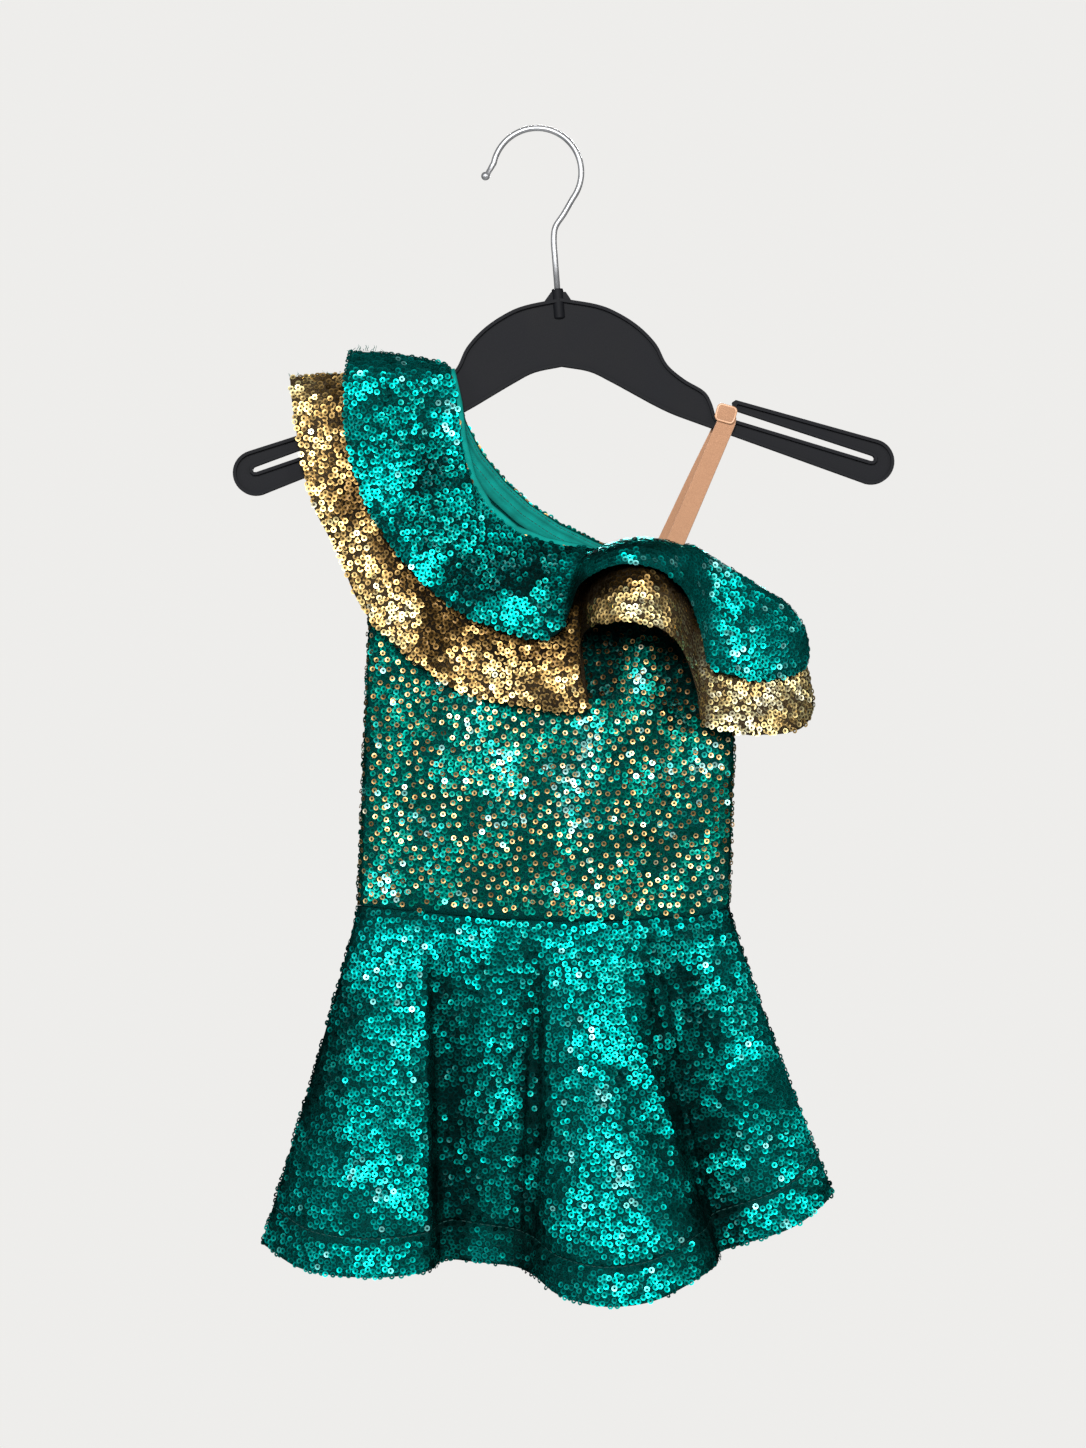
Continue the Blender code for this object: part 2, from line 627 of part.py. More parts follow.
def pocket_half():
    """Half outline of the recess between the raised rims."""
    top = [tuple(point) for point in smooth_rows(HANGER_TOP, OUTLINE_STEPS)]
    bottom = [tuple(point) for point in smooth_rows(HANGER_BOTTOM, OUTLINE_STEPS)]
    inner_top = [point for point in inset(top, RIM) if point[0] < POCKET_END]
    inner_bottom = [point for point in inset(bottom, RIM) if point[0] < POCKET_END]
    inner_top[0] = (0.0, top[0][1] - RIM)
    inner_bottom[-1] = (0.0, bottom[-1][1] + RIM)
    return [*inner_top, *inner_bottom]


def stem_point(z):
    """The straight stem's middle at a height."""
    (top_x, top_z), (foot_x, foot_z) = HOOK_NECK[-1], STEM_FOOT
    return (top_x + (z - top_z) / (foot_z - top_z) * (foot_x - top_x), 0.0, z)


def make_hanger(collection, cutters):
    slot = "black_plastic"
    outline = both_halves(hanger_half())
    body = as_mesh(plate("hanger_body", outline, HANGER_THICK, collection, slot), collection, slot)
    depth = (HANGER_THICK - WEB_THICK) / 2
    recess = both_halves(pocket_half())
    for label, side in (("pocket_front", FRONT), ("pocket_back", BACK)):
        pocket = as_mesh(plate(label, recess, 2 * depth, cutters, slot), cutters, slot)
        pocket.location.y = side * HANGER_THICK / 2 * MM
        boolean(body, pocket, "DIFFERENCE")
    boss_line = [stem_point(BOSS_TOP), stem_point(BOSS_BOTTOM)]
    boss = tube("boss", boss_line, BOSS_RADIUS, cutters, slot, sides=BOSS_SIDES)
    boolean(body, as_mesh(boss, cutters, slot), "UNION")
    bore_line = [stem_point(BORE_TOP), stem_point(BORE_BOTTOM)]
    bore = tube("bore", bore_line, BORE_RADIUS, cutters, slot, sides=BOSS_SIDES)
    boolean(body, as_mesh(bore, cutters, slot), "DIFFERENCE")
    return body


def make_hook(collection):
    arc = []
    middle_z = WIRE / 2 - HOOK_RADIUS
    for step in range(HOOK_STEPS + 1):
        angle = HOOK_FROM + (HOOK_TO - HOOK_FROM) * step / HOOK_STEPS
        arc.append((HOOK_RADIUS * math.cos(angle), middle_z + HOOK_RADIUS * math.sin(angle)))
    neck = smooth_rows([arc[-1], *HOOK_NECK], SMOOTH_STEPS)[1:]
    points = [(x, 0.0, z) for x, z in [*BALL, *arc, *neck, STEM_FOOT]]
    swell = ((0, WIRE_END_TAPER), (1, BALL_SWELL), (2, BALL_SWELL), (3, 1.0))
    return tube("hanger_hook", points, WIRE / 2, collection, "chrome", swell)


def slider_point(across, up):
    """A point on the slider's plane, which lies square to the strap."""
    x = SLIDER_MIDDLE[0] + across * math.cos(STRAP_LEAN) + up * math.sin(STRAP_LEAN)
    z = SLIDER_MIDDLE[1] - across * math.sin(STRAP_LEAN) + up * math.cos(STRAP_LEAN)
    return (x, SLIDER_Y, z)


def make_slider(collection, cutters):
    slot = "tan_elastic"
    half_width = (SLIDER_WIDTH - SLIDER_WIRE) / 2
    half_height = (SLIDER_HEIGHT - SLIDER_WIRE) / 2
    corners = ((1, 1), (-1, 1), (-1, -1), (1, -1))
    loop = []
    for number, (right, up) in enumerate(corners):
        for step in range(SLIDER_CORNER_STEPS + 1):
            angle = math.pi / 2 * (number + step / SLIDER_CORNER_STEPS)
            across = right * (half_width - SLIDER_CORNER) + SLIDER_CORNER * math.cos(angle)
            height = up * (half_height - SLIDER_CORNER) + SLIDER_CORNER * math.sin(angle)
            loop.append(slider_point(across, height))
    radius = SLIDER_WIRE / 2
    ring = as_mesh(tube("strap_slider", loop, radius, collection, slot, closed=True), collection, slot)
    bar_line = [slider_point(-half_width, 0.0), slider_point(half_width, 0.0)]
    bar = tube("slider_bar", bar_line, radius * SLIDER_BAR_SHARE, cutters, slot)
    boolean(ring, as_mesh(bar, cutters, slot), "UNION")
    return ring


def main():
    empty_scene()
    dress = new_collection("sequin_dress_on_hanger")
    cutters = new_collection("cutters")
    two_tone, teal, gold = "teal_gold_sequin_cloth", "teal_sequin_cloth", "gold_sequin_cloth"
    cloth_wall("bodice_front", bodice_grid(FRONT_TOP, FRONT, 2), CLOTH, dress, two_tone)
    cloth_wall("bodice_back", bodice_grid(BACK_TOP, BACK, 1), CLOTH, dress, two_tone)
    cloth_wall("skirt_front", skirt_grid(FRONT_FOLDS, FRONT), CLOTH, dress, teal)
    cloth_wall("skirt_back", skirt_grid(BACK_FOLDS, BACK), CLOTH, dress, teal)
    cloth_wall("ruffle_gold_front", ruffle_grid(GOLD_FRONT, FRONT, GOLD_ROWS), CLOTH, dress, gold)
    cloth_wall("ruffle_gold_back", ruffle_grid(GOLD_BACK, BACK, GOLD_ROWS), CLOTH, dress, gold)
    cloth_wall("ruffle_teal_front", ruffle_grid(TEAL_FRONT, FRONT, TEAL_ROWS), CLOTH, dress, teal)
    cloth_wall("ruffle_teal_back", ruffle_grid(TEAL_BACK, BACK, TEAL_ROWS), CLOTH, dress, teal)
    cloth_wall("neck_binding", binding_grid(), BINDING_CLOTH, dress, "teal_binding")
    cloth_wall("shoulder_strap", strap_grid(), STRAP_CLOTH, dress, "tan_elastic")
    make_slider(dress, cutters)
    make_hanger(dress, cutters)
    make_hook(dress)
    bpy.context.view_layer.update()


main()
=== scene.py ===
import math

import bmesh
import bpy
import numpy as np
from mathutils import Matrix, Vector, noise


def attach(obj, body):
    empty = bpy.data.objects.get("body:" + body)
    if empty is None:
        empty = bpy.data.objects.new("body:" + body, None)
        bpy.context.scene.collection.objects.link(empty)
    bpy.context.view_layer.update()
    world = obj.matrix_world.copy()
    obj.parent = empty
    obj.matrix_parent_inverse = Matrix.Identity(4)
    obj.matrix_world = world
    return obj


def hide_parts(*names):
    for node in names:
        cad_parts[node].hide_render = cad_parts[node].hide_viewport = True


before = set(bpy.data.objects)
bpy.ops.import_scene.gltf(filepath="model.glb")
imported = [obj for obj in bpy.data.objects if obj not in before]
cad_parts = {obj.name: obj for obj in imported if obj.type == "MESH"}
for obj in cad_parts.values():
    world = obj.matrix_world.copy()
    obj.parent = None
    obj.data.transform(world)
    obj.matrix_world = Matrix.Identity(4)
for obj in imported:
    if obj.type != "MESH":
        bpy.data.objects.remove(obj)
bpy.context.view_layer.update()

# The hook is one length of 3.2 mm chrome-plated steel wire, bent to a round top that hangs on
# a nail, with a ball pressed on its free end and its straight stem set in the hanger's boss.
# Lengths are in millimetres throughout, and made metres where a mesh is built.
MM = 0.001
WIRE = 3.2
HOOK_RADIUS = 23.8
HOOK_FROM = math.radians(168)
HOOK_TO = math.radians(-36)
HOOK_ARC_STEPS = 56
# From the bend down to the stem: x, z
HOOK_NECK = ((14.4, -44.6), (9.9, -51.6), (9.0, -58.6), (9.6, -68.0))
STEM_FOOT = (11.9, -97.8)
WIRE_BEND_END = (-24.9, -20.8)
BALL_MIDDLE = (-27.7, -24.2)
BALL_RADIUS = 2.35
BALL_STEPS = 10


def smooth_rows(rows, steps):
    """The rows with steps - 1 more between each two, on a Catmull-Rom curve through them."""
    table = np.array(rows, dtype=float)
    ends = np.vstack([2 * table[0] - table[1], table, 2 * table[-1] - table[-2]])
    out = []
    for i in range(len(table) - 1):
        before, start, end, after = ends[i : i + 4]
        for step in range(steps):
            t = step / steps
            out.append(
                start
                + 0.5 * t * (end - before)
                + t * t * (before - 2.5 * start + 2 * end - 0.5 * after)
                + 0.5 * t**3 * (after - before + 3 * (start - end))
            )
    out.append(table[-1])
    return np.array(out)


def add_piece(name, mesh, finish):
    made = bpy.data.objects.new(name, mesh)
    bpy.context.scene.collection.objects.link(made)
    mesh.materials.clear()
    mesh.materials.append(finish)
    return made


def mesh_from(work, mesh):
    work.to_mesh(mesh)
    work.free()
    return mesh


def round_wire_mesh(name, points, radii, sides):
    """A closed tube with its own radius at each point, its rings carried along without twist."""
    path = [Vector(point) for point in points]
    work = bmesh.new()
    rings = []
    across = None
    for i, point in enumerate(path):
        along = (path[min(i + 1, len(path) - 1)] - path[max(i - 1, 0)]).normalized()
        if across is None:
            across = along.orthogonal().normalized()
        across = (across - along * across.dot(along)).normalized()
        other = along.cross(across)
        ring = []
        for side in range(sides):
            angle = 2 * math.pi * side / sides
            out = across * math.cos(angle) + other * math.sin(angle)
            ring.append(work.verts.new((point + out * radii[i]) * MM))
        rings.append(ring)
    for ring, after in zip(rings, rings[1:]):
        for side in range(sides):
            nearby = (side + 1) % sides
            work.faces.new((ring[side], ring[nearby], after[nearby], after[side]))
    work.faces.new(list(reversed(rings[0])))
    work.faces.new(rings[-1])
    mesh = mesh_from(work, bpy.data.meshes.new(name))
    mesh.shade_smooth()
    return mesh


def adder(tree):
    """A helper that adds a node of some kind, or takes one, and sets or links its inputs."""

    def add(kind, inputs=(), **settings):
        node = kind if isinstance(kind, bpy.types.Node) else tree.nodes.new(kind)
        for key, value in settings.items():
            setattr(node, key, value)
        for socket, source in dict(inputs).items():
            if isinstance(source, bpy.types.Node):
                source = source.outputs[0]
            if isinstance(source, bpy.types.NodeSocket):
                tree.links.new(source, node.inputs[socket])
            else:
                node.inputs[socket].default_value = source
        return node

    return add


def new_finish(name):
    """A node material, its helper, the place on the object, and its shader."""
    made = bpy.data.materials.new(name)
    made.use_nodes = True
    add = adder(made.node_tree)
    place = add("ShaderNodeTexCoord").outputs["Object"]
    return made, add, place, made.node_tree.nodes["Principled BSDF"]


def cloudy(add, place, scale, detail, **more):
    look = {"Vector": place, "Scale": scale, "Detail": detail, **more}
    return add("ShaderNodeTexNoise", look).outputs["Fac"]


def between(add, value, low, high, first=0.0, last=1.0):
    """The value's run from first to last, spread from low to high."""
    limits = {"From Min": first, "From Max": last, "To Min": low, "To Max": high}
    return add("ShaderNodeMapRange", {"Value": value, **limits}).outputs["Result"]


def ramp(add, value, stops):
    node = add("ShaderNodeValToRGB", {"Fac": value})
    elements = node.color_ramp.elements
    while len(elements) < len(stops):
        elements.new(0.5)
    for element, (place, colour) in zip(elements, stops):
        element.position = place
        element.color = (*colour, 1.0)
    return node.outputs["Color"]


def chrome_finish():
    made, add, place, shader = new_finish("chrome plating")
    drawn = cloudy(add, place, 160.0, 4.0)
    tint = ramp(add, drawn, ((0.3, (0.34, 0.35, 0.37)), (0.7, (0.44, 0.45, 0.47))))
    rough = between(add, drawn, 0.32, 0.42)
    add(shader, {"Base Color": tint, "Roughness": rough, "Metallic": 0.72})
    return made


def fitted(slot, node, *pieces):
    """The pieces belong to the one body; the CAD node that they stand in for, if given, is hidden.
    """
    for piece in pieces:
        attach(piece, "root")
    if node:
        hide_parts(node)


hook_arc = []
for step in range(HOOK_ARC_STEPS + 1):
    angle = HOOK_FROM + (HOOK_TO - HOOK_FROM) * step / HOOK_ARC_STEPS
    hook_arc.append(
        (HOOK_RADIUS * math.cos(angle), WIRE / 2 - HOOK_RADIUS + HOOK_RADIUS * math.sin(angle))
    )
hook_neck = smooth_rows([hook_arc[-1], *HOOK_NECK], 8)[1:]
ball_axis = (Vector(WIRE_BEND_END) - Vector(BALL_MIDDLE)).normalized()
ball_points, ball_radii = [], []
for step in range(BALL_STEPS + 1):
    turn = math.pi * (1 - 0.8 * step / BALL_STEPS)
    ball_points.append(tuple(Vector(BALL_MIDDLE) + ball_axis * BALL_RADIUS * math.cos(turn)))
    ball_radii.append(max(BALL_RADIUS * math.sin(turn), 0.15))
hook_line = [*ball_points, *hook_arc, *hook_neck, STEM_FOOT]
hook_radii = ball_radii + [WIRE / 2] * (len(hook_line) - len(ball_points))
hook = add_piece(
    "hook_wire",
    round_wire_mesh("hook_wire", [(x, 0.0, z) for x, z in hook_line], hook_radii, 20),
    chrome_finish(),
)
fitted("chrome", "hanger_hook", hook)

# The hanger is one moulding of black plastic with a raised rim round a thinner web, an open
# slot in each arm and a short collar that the hook's stem is pressed into. Its edges are
# slightly rounded, and the mould leaves a fine grain on it.
HANGER_X = 13.7
HANGER_PIVOT_Z = -150.0
HANGER_TILT = math.radians(1.04)
HANGER_HALF_SPAN = 177.8
HANGER_THICK = 6.0
WEB_THICK = 2.0
RIM = 1.8
RIM_DEPTH = 0.9  # how far down from its faces the rim is smooth
EDGE_ROUNDING = 0.45
ARM_END_RADIUS = 12.2
ARM_END_MIDDLE = (HANGER_HALF_SPAN - ARM_END_RADIUS, -181.0)
ARM_SLOPE = math.radians(-16.2)
ARM_END_STEPS = 20
OUTLINE_STEPS = 5
GUSSET_THICK = 2.8
# Outline of the hanger's right half, before it is tilted: across from its middle, z
HANGER_TOP = (
    (0, -90.2),
    (19.3, -93.8),
    (30.7, -98.5),
    (42, -106.1),
    (51.1, -115.9),
    (56.7, -126.8),
    (65.7, -134.9),
    (76, -141.3),
    (80, -147.5),
    (82.6, -156.9),
)
SLOT_LOWER = ((90.5, -156.6), (165.1, -180.6))
SLOT_END = ((166.2, -180.6), (166.9, -179.9), (167.0, -178.9), (166.4, -178.0))
SLOT_UPPER = ((165.3, -177.5), (94.5, -152.8))
FINGER_TIP = ((91.6, -150.8), (91.2, -147.8), (93.2, -146.6))
FINGER_POCKET = ((94.0, -150.6), (93.6, -149.8), (94.2, -148.9))
HANGER_BOTTOM = (
    (88.4, -164.6),
    (78.2, -160.7),
    (60.1, -153.7),
    (48.8, -148.1),
    (37.4, -141.6),
    (26.1, -135.2),
    (14.8, -129.6),
    (0, -126.7),
)
GUSSET = ((3.2, -92.8), (7.6, -86.6), (15.4, -86.6), (19.6, -92.8))
# Collar round the stem: z of each ring and its radius
COLLAR = (
    (-84.9, 2.3),
    (-85.0, 2.9),
    (-85.6, 3.15),
    (-100.4, 3.1),
    (-101.0, 2.6),
)


def hanger_place(across, z):
    up = z - HANGER_PIVOT_Z
    return (
        HANGER_X + across * math.cos(HANGER_TILT) - up * math.sin(HANGER_TILT),
        HANGER_PIVOT_Z + across * math.sin(HANGER_TILT) + up * math.cos(HANGER_TILT),
    )


def both_halves(half):
    mirrored = [(-across, z) for across, z in reversed(half[1:-1])]
    return [hanger_place(across, z) for across, z in [*half, *mirrored]]


def inset(points, distance):
    moved = []
    for i, (across, z) in enumerate(points):
        before = points[max(i - 1, 0)]
        after = points[min(i + 1, len(points) - 1)]
        along = Vector((after[0] - before[0], after[1] - before[1])).normalized()
        moved.append((across + distance * along.y, z - distance * along.x))
    return moved


def plate_mesh(name, outline, near, far):
    """A flat plate between two distances from the hanger's plane, on a closed outline."""
    curve = bpy.data.curves.new(name, "CURVE")
    curve.dimensions = "2D"
    curve.fill_mode = "BOTH"
    curve.extrude = (far - near) / 2 * MM
    edge = curve.splines.new("POLY")
    edge.points.add(len(outline) - 1)
    edge.use_cyclic_u = True
    for knot, (x, z) in zip(edge.points, outline):
        knot.co = (x * MM, z * MM, 0.0, 1.0)
    holder = bpy.data.objects.new(name, curve)
    mesh = bpy.data.meshes.new_from_object(holder)
    bpy.data.objects.remove(holder)
    mesh.transform(Matrix.Rotation(math.pi / 2, 4, "X"))
    mesh.transform(Matrix.Translation((0.0, (near + far) / 2 * MM, 0.0)))
    work = bmesh.new()
    work.from_mesh(mesh)
    bmesh.ops.remove_doubles(work, verts=work.verts, dist=0.001 * MM)
    bmesh.ops.dissolve_limit(
        work, angle_limit=math.radians(0.5), verts=work.verts, edges=work.edges
    )
    bmesh.ops.recalc_face_normals(work, faces=work.faces)
    return mesh_from(work, mesh)


def settled_mesh(source):
    """The object's mesh with its modifiers made real."""
    graph = bpy.context.evaluated_depsgraph_get()
    graph.update()
    return bpy.data.meshes.new_from_object(
        source.evaluated_get(graph), preserve_all_data_layers=True, depsgraph=graph
    )


def joined(first, *others):
    """One mesh of several, kept in the first."""
    work = bmesh.new()
    for mesh in (first, *others):
        work.from_mesh(mesh)
    return mesh_from(work, first)


def bump(add, height, strength, distance, **settings):
    inputs = {"Height": height, "Strength": strength, "Distance": distance}
    return add("ShaderNodeBump", inputs, **settings).outputs["Normal"]


def moulded_plastic_finish(name, level, rough_from):
    made, add, place, shader = new_finish(name)
    grain = cloudy(add, place, 1400.0, 3.0)
    flow = cloudy(add, place, 28.0, 4.0, Distortion=0.6)
    dark, light = np.array((0.72, 0.78, 1.05)) * level, np.array((1.15, 1.25, 1.65)) * level
    looks = {
        "Base Color": ramp(add, flow, ((0.3, dark), (0.75, light))),
        "Roughness": between(add, flow, rough_from, rough_from + 0.18),
        "Normal": bump(add, grain, 0.25, 0.0002),
        "Specular IOR Level": 0.12,
    }
    add(shader, looks)
    return made


arm_arc = []
for step in range(ARM_END_STEPS + 1):
    angle = ARM_SLOPE + math.pi / 2 - math.pi * step / ARM_END_STEPS
    across = ARM_END_MIDDLE[0] + ARM_END_RADIUS * math.cos(angle)
    arm_arc.append((across, ARM_END_MIDDLE[1] + ARM_END_RADIUS * math.sin(angle)))
top_line = [tuple(point) for point in smooth_rows(HANGER_TOP, OUTLINE_STEPS)]
bottom_line = [tuple(point) for point in smooth_rows(HANGER_BOTTOM, OUTLINE_STEPS)]
web_half = [*top_line, *SLOT_LOWER, *SLOT_END, *SLOT_UPPER]
arm_half = [*FINGER_TIP, *arm_arc, *bottom_line]
pocket_half = [*inset(web_half, RIM)[:-1], *FINGER_POCKET, *inset(arm_half, RIM)[3:]]
pocket_half[0] = (0.0, top_line[0][1] - RIM)
pocket_half[-1] = (0.0, bottom_line[-1][1] + RIM)

plastic = moulded_plastic_finish("grained black plastic", 0.0065, 0.56)
rim_plastic = moulded_plastic_finish("smooth black plastic", 0.0012, 0.34)
body_outline = both_halves([*web_half, *arm_half])
body_plate = plate_mesh("hanger", body_outline, -HANGER_THICK / 2, HANGER_THICK / 2)
hanger = add_piece("hanger", body_plate, plastic)
pocket_outline = both_halves(pocket_half)
pockets = []
for near, far in ((-HANGER_THICK, -WEB_THICK / 2), (WEB_THICK / 2, HANGER_THICK)):
    pocket_mesh = plate_mesh("pocket", pocket_outline, near, far)
    pocket = add_piece("pocket", pocket_mesh, plastic)
    pockets.append(pocket)
    cut = hanger.modifiers.new("pocket", "BOOLEAN")
    cut.operation = "DIFFERENCE"
    cut.object = pocket
edge = hanger.modifiers.new("rounded edges", "BEVEL")
edge.width = EDGE_ROUNDING * MM
edge.segments = 2
edge.limit_method = "ANGLE"
edge.angle_limit = math.radians(50)
edge.use_clamp_overlap = True
hanger_mesh = settled_mesh(hanger)
hanger.modifiers.clear()
for pocket in pockets:
    bpy.data.objects.remove(pocket)
for face in hanger_mesh.polygons:
    at_rim = abs(face.center.y) > (HANGER_THICK / 2 - RIM_DEPTH) * MM
    face.material_index = 1 if at_rim else 0
stem_line = (Vector((HOOK_NECK[-1][0], HOOK_NECK[-1][1])), Vector(STEM_FOOT))


def stem_x(z):
    share = (z - stem_line[0].y) / (stem_line[1].y - stem_line[0].y)
    return stem_line[0].x + share * (stem_line[1].x - stem_line[0].x)


collar_mesh = round_wire_mesh(
    "collar", [(stem_x(z), 0.0, z) for z, radius in COLLAR], [radius for z, radius in COLLAR], 28
)
gusset_mesh = plate_mesh("gusset", GUSSET, -GUSSET_THICK / 2, GUSSET_THICK / 2)
joined(hanger_mesh, collar_mesh, gusset_mesh)
hanger_mesh.materials.clear()
hanger_mesh.materials.append(plastic)
hanger_mesh.materials.append(rim_plastic)
hanger_mesh.shade_smooth()
hanger_mesh.set_sharp_from_angle(angle=math.radians(22))
hanger.data = hanger_mesh
fitted("black_plastic", "hanger_body", hanger)

# The bodice is two panels of stretch mesh joined at the sides and over one shoulder. Every
# panel of the dress is cut from such mesh and covered with 3 mm ring sequins, each sewn down
# at its hole, so they overlap and tip in all directions. The bodice has loose gold ones too.
FRONT = -1
BACK = 1
CLOTH = 1.2  # a cloth with its sequins lying flat
MESH_CLOTH = 0.5  # the mesh itself
GAP = 0.35
SEAM_OUT = 0.8
SEWN_OUT = 0.27  # where two panels meet in a seam
SEAM_REACH = 30.0
LAYER = CLOTH + GAP
SEQUIN_RADIUS = 1.6
HOLE_RADIUS = 0.6
SEQUIN_CORNERS = 8
SEQUIN_CUP = 0.09
CELL_FILL = 0.42  # a sequin's radius in its square of the bake's map
LOOSE_RADIUS = 1.38
LOOSE_HOLE = 0.64
BODICE_SPACING, LOOSE_SPACING = 2.5, 4.3
HOLLOW_DARK = -0.42  # how the layer's painted shading changes a sequin's tone: painted shade darkens it, painted highlight brightens it
TILE_LEAN = 0.2  # how far a patch of sequins lies over together, in radians
BODICE_SIDES = {
    "z": (-416.0, -360.0, -306.0, -255.0, -190.0, -150.0, -120.0),
    "left": (-96.3, -93.9, -91.5, -89.6, -89.6, -89.6, -89.6),
    "right": (103.3, 104.4, 106.5, 107.6, 107.6, 107.6, 107.6),
    "half_depth": (11.5, 13.0, 13.0, 12.0, 9.5, 6.8, 6.2),
}
SIDE_ROUNDING = 0.4
SHOULDER_CLOSE = 6.0
WAIST_SEAM = {
    "x": (-96.3, -57.6, -19.9, 12.4, 55.4, 87.7, 103.3),
    "z": (-416.4, -420.2, -423.4, -424.5, -423.9, -421.8, -417.5),
}
SHOULDER_TIP = (-71.6, -141.5)
NECK_POINT = (-47.9, -126.6)
# Upper outline of a panel: share of its width, x, z
FRONT_TOP = (
    (0.00, -89.6, -248),
    (0.05, -84, -225),
    (0.10, -77.5, -196),
    (0.15, -74, -166),
    (0.19, *SHOULDER_TIP),
    (0.33, *NECK_POINT),
    (0.35, -46.7, -131.2),
    (0.40, -43.2, -146.5),
    (0.46, -40.8, -166.5),
    (0.52, -35.5, -187.5),
    (0.58, -26.5, -203.5),
    (0.64, -12, -215.8),
    (0.70, 5.5, -222.5),
    (0.76, 25.8, -226.5),
    (0.82, 42, -232.4),
    (0.87, 58.1, -238.3),
    (0.91, 74.2, -244.3),
    (0.96, 90.4, -250.7),
    (1.00, 107.6, -258.8),
)
BACK_TOP = (
    (0.00, -89.6, -248),
    (0.05, -83, -222),
    (0.10, -76.5, -190),
    (0.15, -73, -162),
    (0.19, *SHOULDER_TIP),
    (0.33, *NECK_POINT),
    (0.35, -46.5, -131.2),
    (0.40, -42.5, -140.5),
    (0.46, -38, -156.5),
    (0.52, -29.6, -172.7),
    (0.58, -17.2, -187.8),
    (0.64, -3.8, -200.1),
    (0.70, 12.4, -210.9),
    (0.76, 31.2, -220),
    (0.82, 47.3, -226.5),
    (0.87, 63.5, -234),
    (0.91, 79.6, -241.6),
    (0.96, 94.2, -249.6),
    (1.00, 107.6, -258.8),
)
BODICE_ROWS = 44
BODICE_STEPS = 4
# Soft upright drapes of the bodice: x at the top, x at the waist, half width, height
FRONT_DRAPES = (
    (-34, -24, 9, 1.5),
    (-2, -4, 8, -1.2),
    (40, 30, 10, 1.5),
    (74, 68, 9, -1.1),
    (-66, -62, 9, -1),
)
BACK_DRAPES = (
    (-40, -46, 10, 1.3),
    (-8, -6, 9, -1.2),
    (28, 36, 10, 1.4),
    (70, 66, 9, -1),
)
DRAPE_TOP, DRAPE_FOOT = -240.0, -420.0
RIPPLE_HEIGHT = 0.5
RIPPLE_LENGTH = 13.0


def smooth_step(t):
    t = min(max(t, 0.0), 1.0)
    return t * t * (3 - 2 * t)


def waist_z(x):
    return float(np.interp(x, WAIST_SEAM["x"], WAIST_SEAM["z"]))


def body_out(x, z):
    """How far the flat bodice stands out from the hanger's plane at a point of its outline."""
    heights = BODICE_SIDES["z"]
    left = np.interp(z, heights, BODICE_SIDES["left"])
    right = np.interp(z, heights, BODICE_SIDES["right"])
    depth = np.interp(z, heights, BODICE_SIDES["half_depth"])
    across = (2 * x - left - right) / (right - left)
    rounding = max(0.0, 1.0 - across * across) ** SIDE_ROUNDING
    full = SEAM_OUT + (depth - SEAM_OUT) * rounding
    along = (x - SHOULDER_TIP[0]) / (NECK_POINT[0] - SHOULDER_TIP[0])
    seam_z = SHOULDER_TIP[1] + along * (NECK_POINT[1] - SHOULDER_TIP[1])
    below = min(max(seam_z, SHOULDER_TIP[1]), NECK_POINT[1]) - z
    return SEAM_OUT + (full - SEAM_OUT) * smooth_step(below / SHOULDER_CLOSE)


def ripple(x, z, seed):
    """The small unevenness of hanging sequin cloth, about -1 to 1."""
    coarse = noise.noise(Vector((x, z, seed)) / RIPPLE_LENGTH)
    return coarse + 0.5 * noise.noise(Vector((x, z, seed + 50.0)) * 2.2 / RIPPLE_LENGTH)


def hump(distance, half_width):
    return math.exp(-((distance / half_width) ** 2))


def side_seam(share):
    """1 at the side seams, where the front and the back panel meet, 0 a little away."""
    return 2 - smooth_step(SEAM_REACH * share) - smooth_step(SEAM_REACH * (1 - share))


def spot(x, z, middle_x, middle_z, reach_x, reach_z):
    """1 in the middle of a spot, fading over its reach each way."""
    return hump(x - middle_x, reach_x) * hump(z - middle_z, reach_z)


def outline_point(top, share):
    table = np.array(top)
    return [np.interp(share, table[:, 0], table[:, column]) for column in (1, 2)]


def bodice_grid(top, side, drapes, seed):
    shares = []
    for start, end in zip(top, top[1:]):
        shares.extend(np.linspace(start[0], end[0], BODICE_STEPS, endpoint=False))
    shares.append(1.0)
    tops = [outline_point(top, share) for share in shares]
    left, right = WAIST_SEAM["x"][0], WAIST_SEAM["x"][-1]
    grid = []
    for row in range(BODICE_ROWS + 1):
        rise = row / BODICE_ROWS
        line = []
        for share, (top_x, top_z) in zip(shares, tops):
            foot_x = left + share * (right - left)
            foot_z = waist_z(foot_x) + GAP / 2
            x = foot_x + rise * (top_x - foot_x)
            z = foot_z + rise * (top_z - foot_z)
            out = body_out(x, z)
            down = (DRAPE_TOP - z) / (DRAPE_TOP - DRAPE_FOOT)
            loose = smooth_step(8 * share) * smooth_step(8 * (1 - share)) * smooth_step(2 * down)
            for drape_x, foot, half_width, height in drapes:
                middle = drape_x + down * (foot - drape_x)
                out += loose * height * hump(x - middle, half_width)
            out += loose * RIPPLE_HEIGHT * ripple(x, z, seed)
            out -= (SEAM_OUT - SEWN_OUT) * side_seam(share)
            line.append((x, side * out, z))
        grid.append(line)
    return grid


